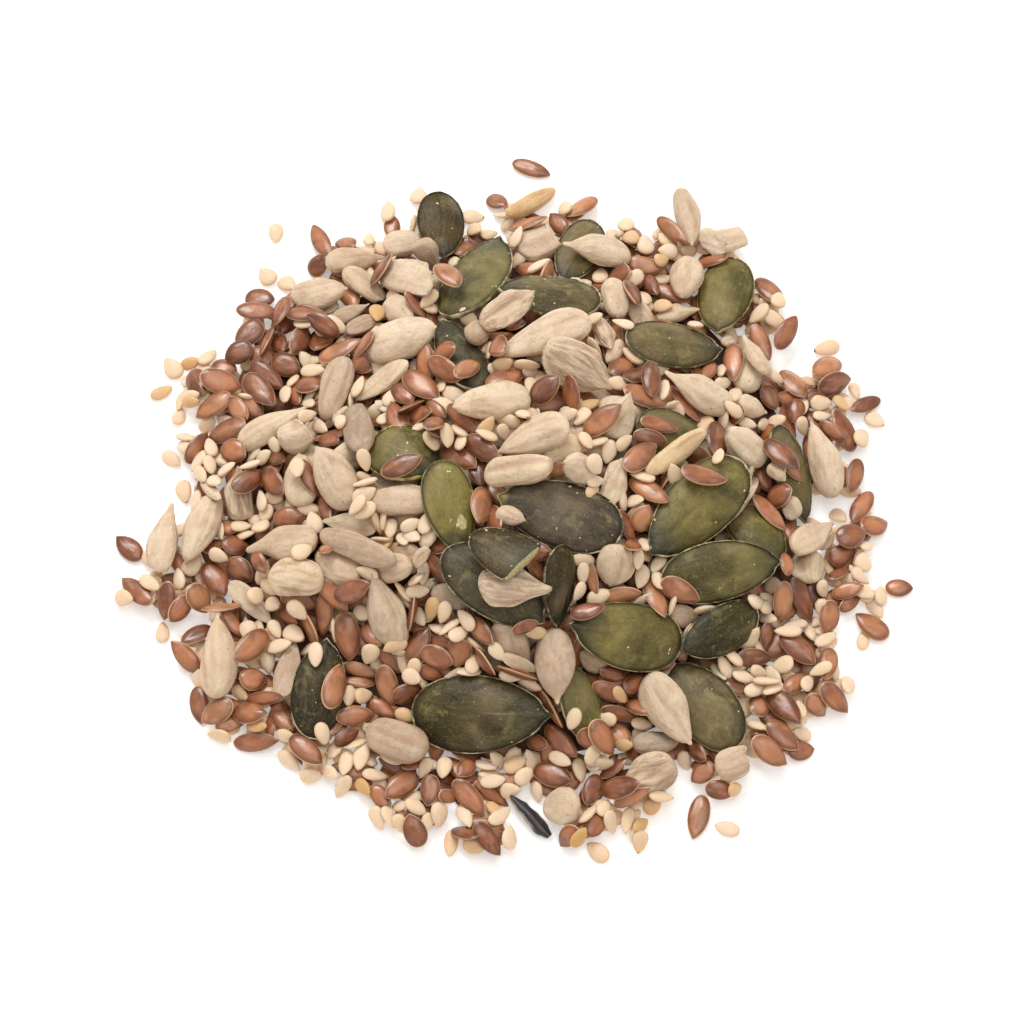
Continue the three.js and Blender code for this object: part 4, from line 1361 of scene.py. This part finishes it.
def flax_skin():
    m = Nodes("flax_skin", (0.99, 0.985, 0.84))
    co, ids, zone = m.attribute("seed_co"), m.split(m.attribute("seed_id")), m.split(m.attribute("seed_zone"))
    base = m.ramp(ids[2], (0.0, "#5f2f19"), (0.25, "#81472c"), (0.5, "#9c5f41"), (0.75, "#ae7053"), (1.0, "#c68d6c"))
    c = m.mix(m.math("MULTIPLY", ids[0], 0.34), base, "#ac7c66")
    cloud = m.noise(co, 0.42, 2, 0.5, 0.4)
    c = m.mix(m.range(cloud, 0.42, 0.62, 0.0, 0.75), c, m.mix(0.65, base, "#4c1f0b"))
    warm = m.noise(co, 0.36, 2, 0.5)
    c = m.mix(m.range(warm, 0.48, 0.66, 0.0, 0.45), c, m.mix(0.6, base, "#c4703f"))
    streak = m.noise(m.stretch(co, (0.5, 1.2, 1.2)), 1.2, 2, 0.5)
    c = m.mix(m.range(streak, 0.50, 0.72, 0.0, 0.26), c, "#d0a088")
    # paler down the middle of some, partly the seed's own tone and partly a painted highlight; darker inside the edge,
    # partly a darker margin and partly painted shade; a thin pale edge
    middle = m.math("MULTIPLY", m.range(zone[1], 0.75, 0.15), m.range(ids[1], 0.2, 1.0, 0.0, 0.45))
    c = m.mix(middle, c, "#bf8059")
    inside = m.math("MULTIPLY", m.range(zone[1], 0.60, 0.90), m.range(zone[1], 0.97, 0.92))
    c = m.mix(m.math("MULTIPLY", inside, 0.50), c, "#562b19")
    edge = m.math("MULTIPLY", m.range(zone[1], 0.93, 0.99), m.range(ids[0], 0.0, 1.0, 0.35, 0.95))
    c = m.mix(edge, c, "#dcb793")
    tip = m.range(zone[0], 0.90, 1.02)
    c = m.mix(m.math("MULTIPLY", tip, 0.45), c, "#5d3a2b")
    c = m.mix(m.math("MULTIPLY", zone[2], 0.8), c, "#d8b892")
    rough = m.range(streak, 0.3, 0.7, 0.24, 0.38)
    n = m.bump(m.noise(m.stretch(co, (0.6, 1.0, 1.0)), 0.9, 3, 0.55), 0.35, 0.00022)
    return m.finish(c, rough, n, 0.72)


def sesame_skin():
    m = Nodes("sesame_skin", (0.975, 0.99, 1.075))
    co, ids, zone = m.attribute("seed_co"), m.split(m.attribute("seed_id")), m.split(m.attribute("seed_zone"))
    base = m.ramp(ids[2], (0.0, "#e6cbA6".lower()), (0.6, "#dcb886"), (1.0, "#cda468"))
    c = m.mix(m.math("MULTIPLY", ids[0], 0.32), base, "#ecd8c2")
    cloud = m.noise(co, 0.9, 3, 0.6)
    c = m.mix(m.range(cloud, 0.42, 0.72, 0.0, 0.28), c, m.mix(0.5, base, "#c09468"))
    edge = m.math("MULTIPLY", m.range(zone[1], 0.80, 0.97), m.range(ids[1], 0.0, 1.0, 0.05, 0.32))
    c = m.mix(edge, c, "#bf9468")
    tip = m.math("MULTIPLY", m.range(zone[0], 0.86, 1.00), m.range(ids[1], 0.55, 0.9))
    c = m.mix(m.math("MULTIPLY", tip, 0.85), c, "#5d4330")
    rough = m.range(cloud, 0.3, 0.7, 0.40, 0.55)
    n = m.bump(m.noise(co, 2.2, 3, 0.6), 0.30, 0.00012)
    m.glow(0.45)
    return m.finish(c, rough, n, 0.32)


def husk_skin():
    m = Nodes("husk_skin")
    co, zone = m.attribute("seed_co"), m.split(m.attribute("seed_zone"))
    streak = m.noise(m.stretch(m.attribute("seed_zone"), (2.0, 9.0, 1.0)), 1.0, 4, 0.6)
    c = m.ramp(streak, (0.3, "#121113"), (0.6, "#1f1e20"), (0.85, "#3a383a"))
    band = m.math("MULTIPLY", m.range(zone[1], 0.05, -0.15), m.range(zone[1], -0.50, -0.30))
    c = m.mix(m.math("MULTIPLY", band, m.range(streak, 0.35, 0.60, 0.15, 0.80)), c, "#6d696b")
    edge = m.math("MULTIPLY", m.range(m.math("ABSOLUTE", zone[1]), 0.66, 0.90), m.range(zone[0], 0.85, 0.50))
    c = m.mix(m.math("MULTIPLY", edge, 0.85), c, "#c4b6aa")
    n = m.bump(streak, 0.6, 0.00020)
    return m.finish(c, 0.38, n, 0.5)


def core_skin():
    m = Nodes("core_skin")
    co = m.node("ShaderNodeTexCoord").outputs["Object"]
    v = m.node("ShaderNodeTexVoronoi", feature="F1")
    v.inputs["Scale"].default_value = 420.0
    m.link(m.stretch(co, (1.0, 0.7, 1.0)), v.inputs["Vector"])
    pick = m.split(v.outputs["Color"])
    # painted shade: the packed grains take the seeds' colours darkened as they look in shade, and darker still between
    # the grains
    c = m.ramp(pick[0], (0.0, "#5d3220"), (0.45, "#74412a"), (0.55, "#94704a"), (0.8, "#a5845a"), (1.0, "#463a22"), mode="CONSTANT")
    c = m.mix(m.range(v.outputs["Distance"], 0.35, 0.8), c, "#2c1b12")
    n = m.bump(v.outputs["Distance"], 0.6, 0.0004)
    return m.finish(c, 0.6, n, 0.35)


for ob, make, name in ((pumpkin, pumpkin_skin, "pumpkin_seed"), (kernel, kernel_skin, "sunflower_kernel"), (flax, flax_skin, "flax_seed"),
                       (sesame, sesame_skin, "sesame_seed"), (husk, husk_skin, "husk"), (core, core_skin, "seed_heap")):
    ob.data.materials.append(make())
    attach(ob, "root")
    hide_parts("seed_heap")

# ------------------------------------------------------ floor, light, camera
me = bpy.data.meshes.new("floor")
me.from_pydata([(-3, -3, 0), (3, -3, 0), (3, 3, 0), (-3, 3, 0)], [], [(0, 1, 2, 3)])
floor = bpy.data.objects.new("floor", me)
bpy.context.scene.collection.objects.link(floor)
floor.location.z = -0.00002
fm = Nodes("pale_floor")
fm.bsdf.inputs["Base Color"].default_value = (0.86, 0.86, 0.86, 1)
fm.bsdf.inputs["Roughness"].default_value = 0.7
fm.bsdf.inputs["Specular IOR Level"].default_value = 0.2
fm.bsdf.inputs["Emission Color"].default_value = (1.0, 1.0, 1.0, 1)
fm.bsdf.inputs["Emission Strength"].default_value = 0.31
floor.data.materials.append(fm.mat)

world = bpy.data.worlds.new("studio")
world.use_nodes = True
world.node_tree.nodes["Background"].inputs[0].default_value = (1.0, 0.935, 0.86, 1)
world.node_tree.nodes["Background"].inputs[1].default_value = 0.715
bpy.context.scene.world = world


def softbox(name, place, aim, size, energy, tint=(1, 1, 1)):
    data = bpy.data.lights.new(name, "AREA")
    data.shape = "RECTANGLE"
    data.size, data.size_y = size
    data.energy = energy
    data.color = tint
    ob = bpy.data.objects.new(name, data)
    ob.location = place
    d = Vector(aim) - Vector(place)
    ob.rotation_euler = d.to_track_quat("-Z", "Y").to_euler()
    bpy.context.scene.collection.objects.link(ob)


softbox("key", (-0.14, 0.44, 0.62), (0, 0, 0), (0.36, 0.28), 3.5, (1.0, 0.99, 0.98))
softbox("top", (0.12, -0.05, 0.80), (0, 0, 0), (0.45, 0.45), 1.4, (1.0, 1.0, 1.0))

cam = bpy.data.cameras.new("camera")
cam.lens = LENS
cam.sensor_width = 36.0
cam.clip_start = 0.01
cam.dof.use_dof = False
camera = bpy.data.objects.new("camera", cam)
camera.location = EYE * 0.001
camera.rotation_euler = (math.pi / 2 - ELEVATION, 0, 0)
bpy.context.scene.collection.objects.link(camera)
bpy.context.scene.camera = camera

view = bpy.context.scene.view_settings
view.view_transform = "Standard"
view.look = "None"
view.exposure = 0.0
view.gamma = 1.0

bpy.context.view_layer.update()
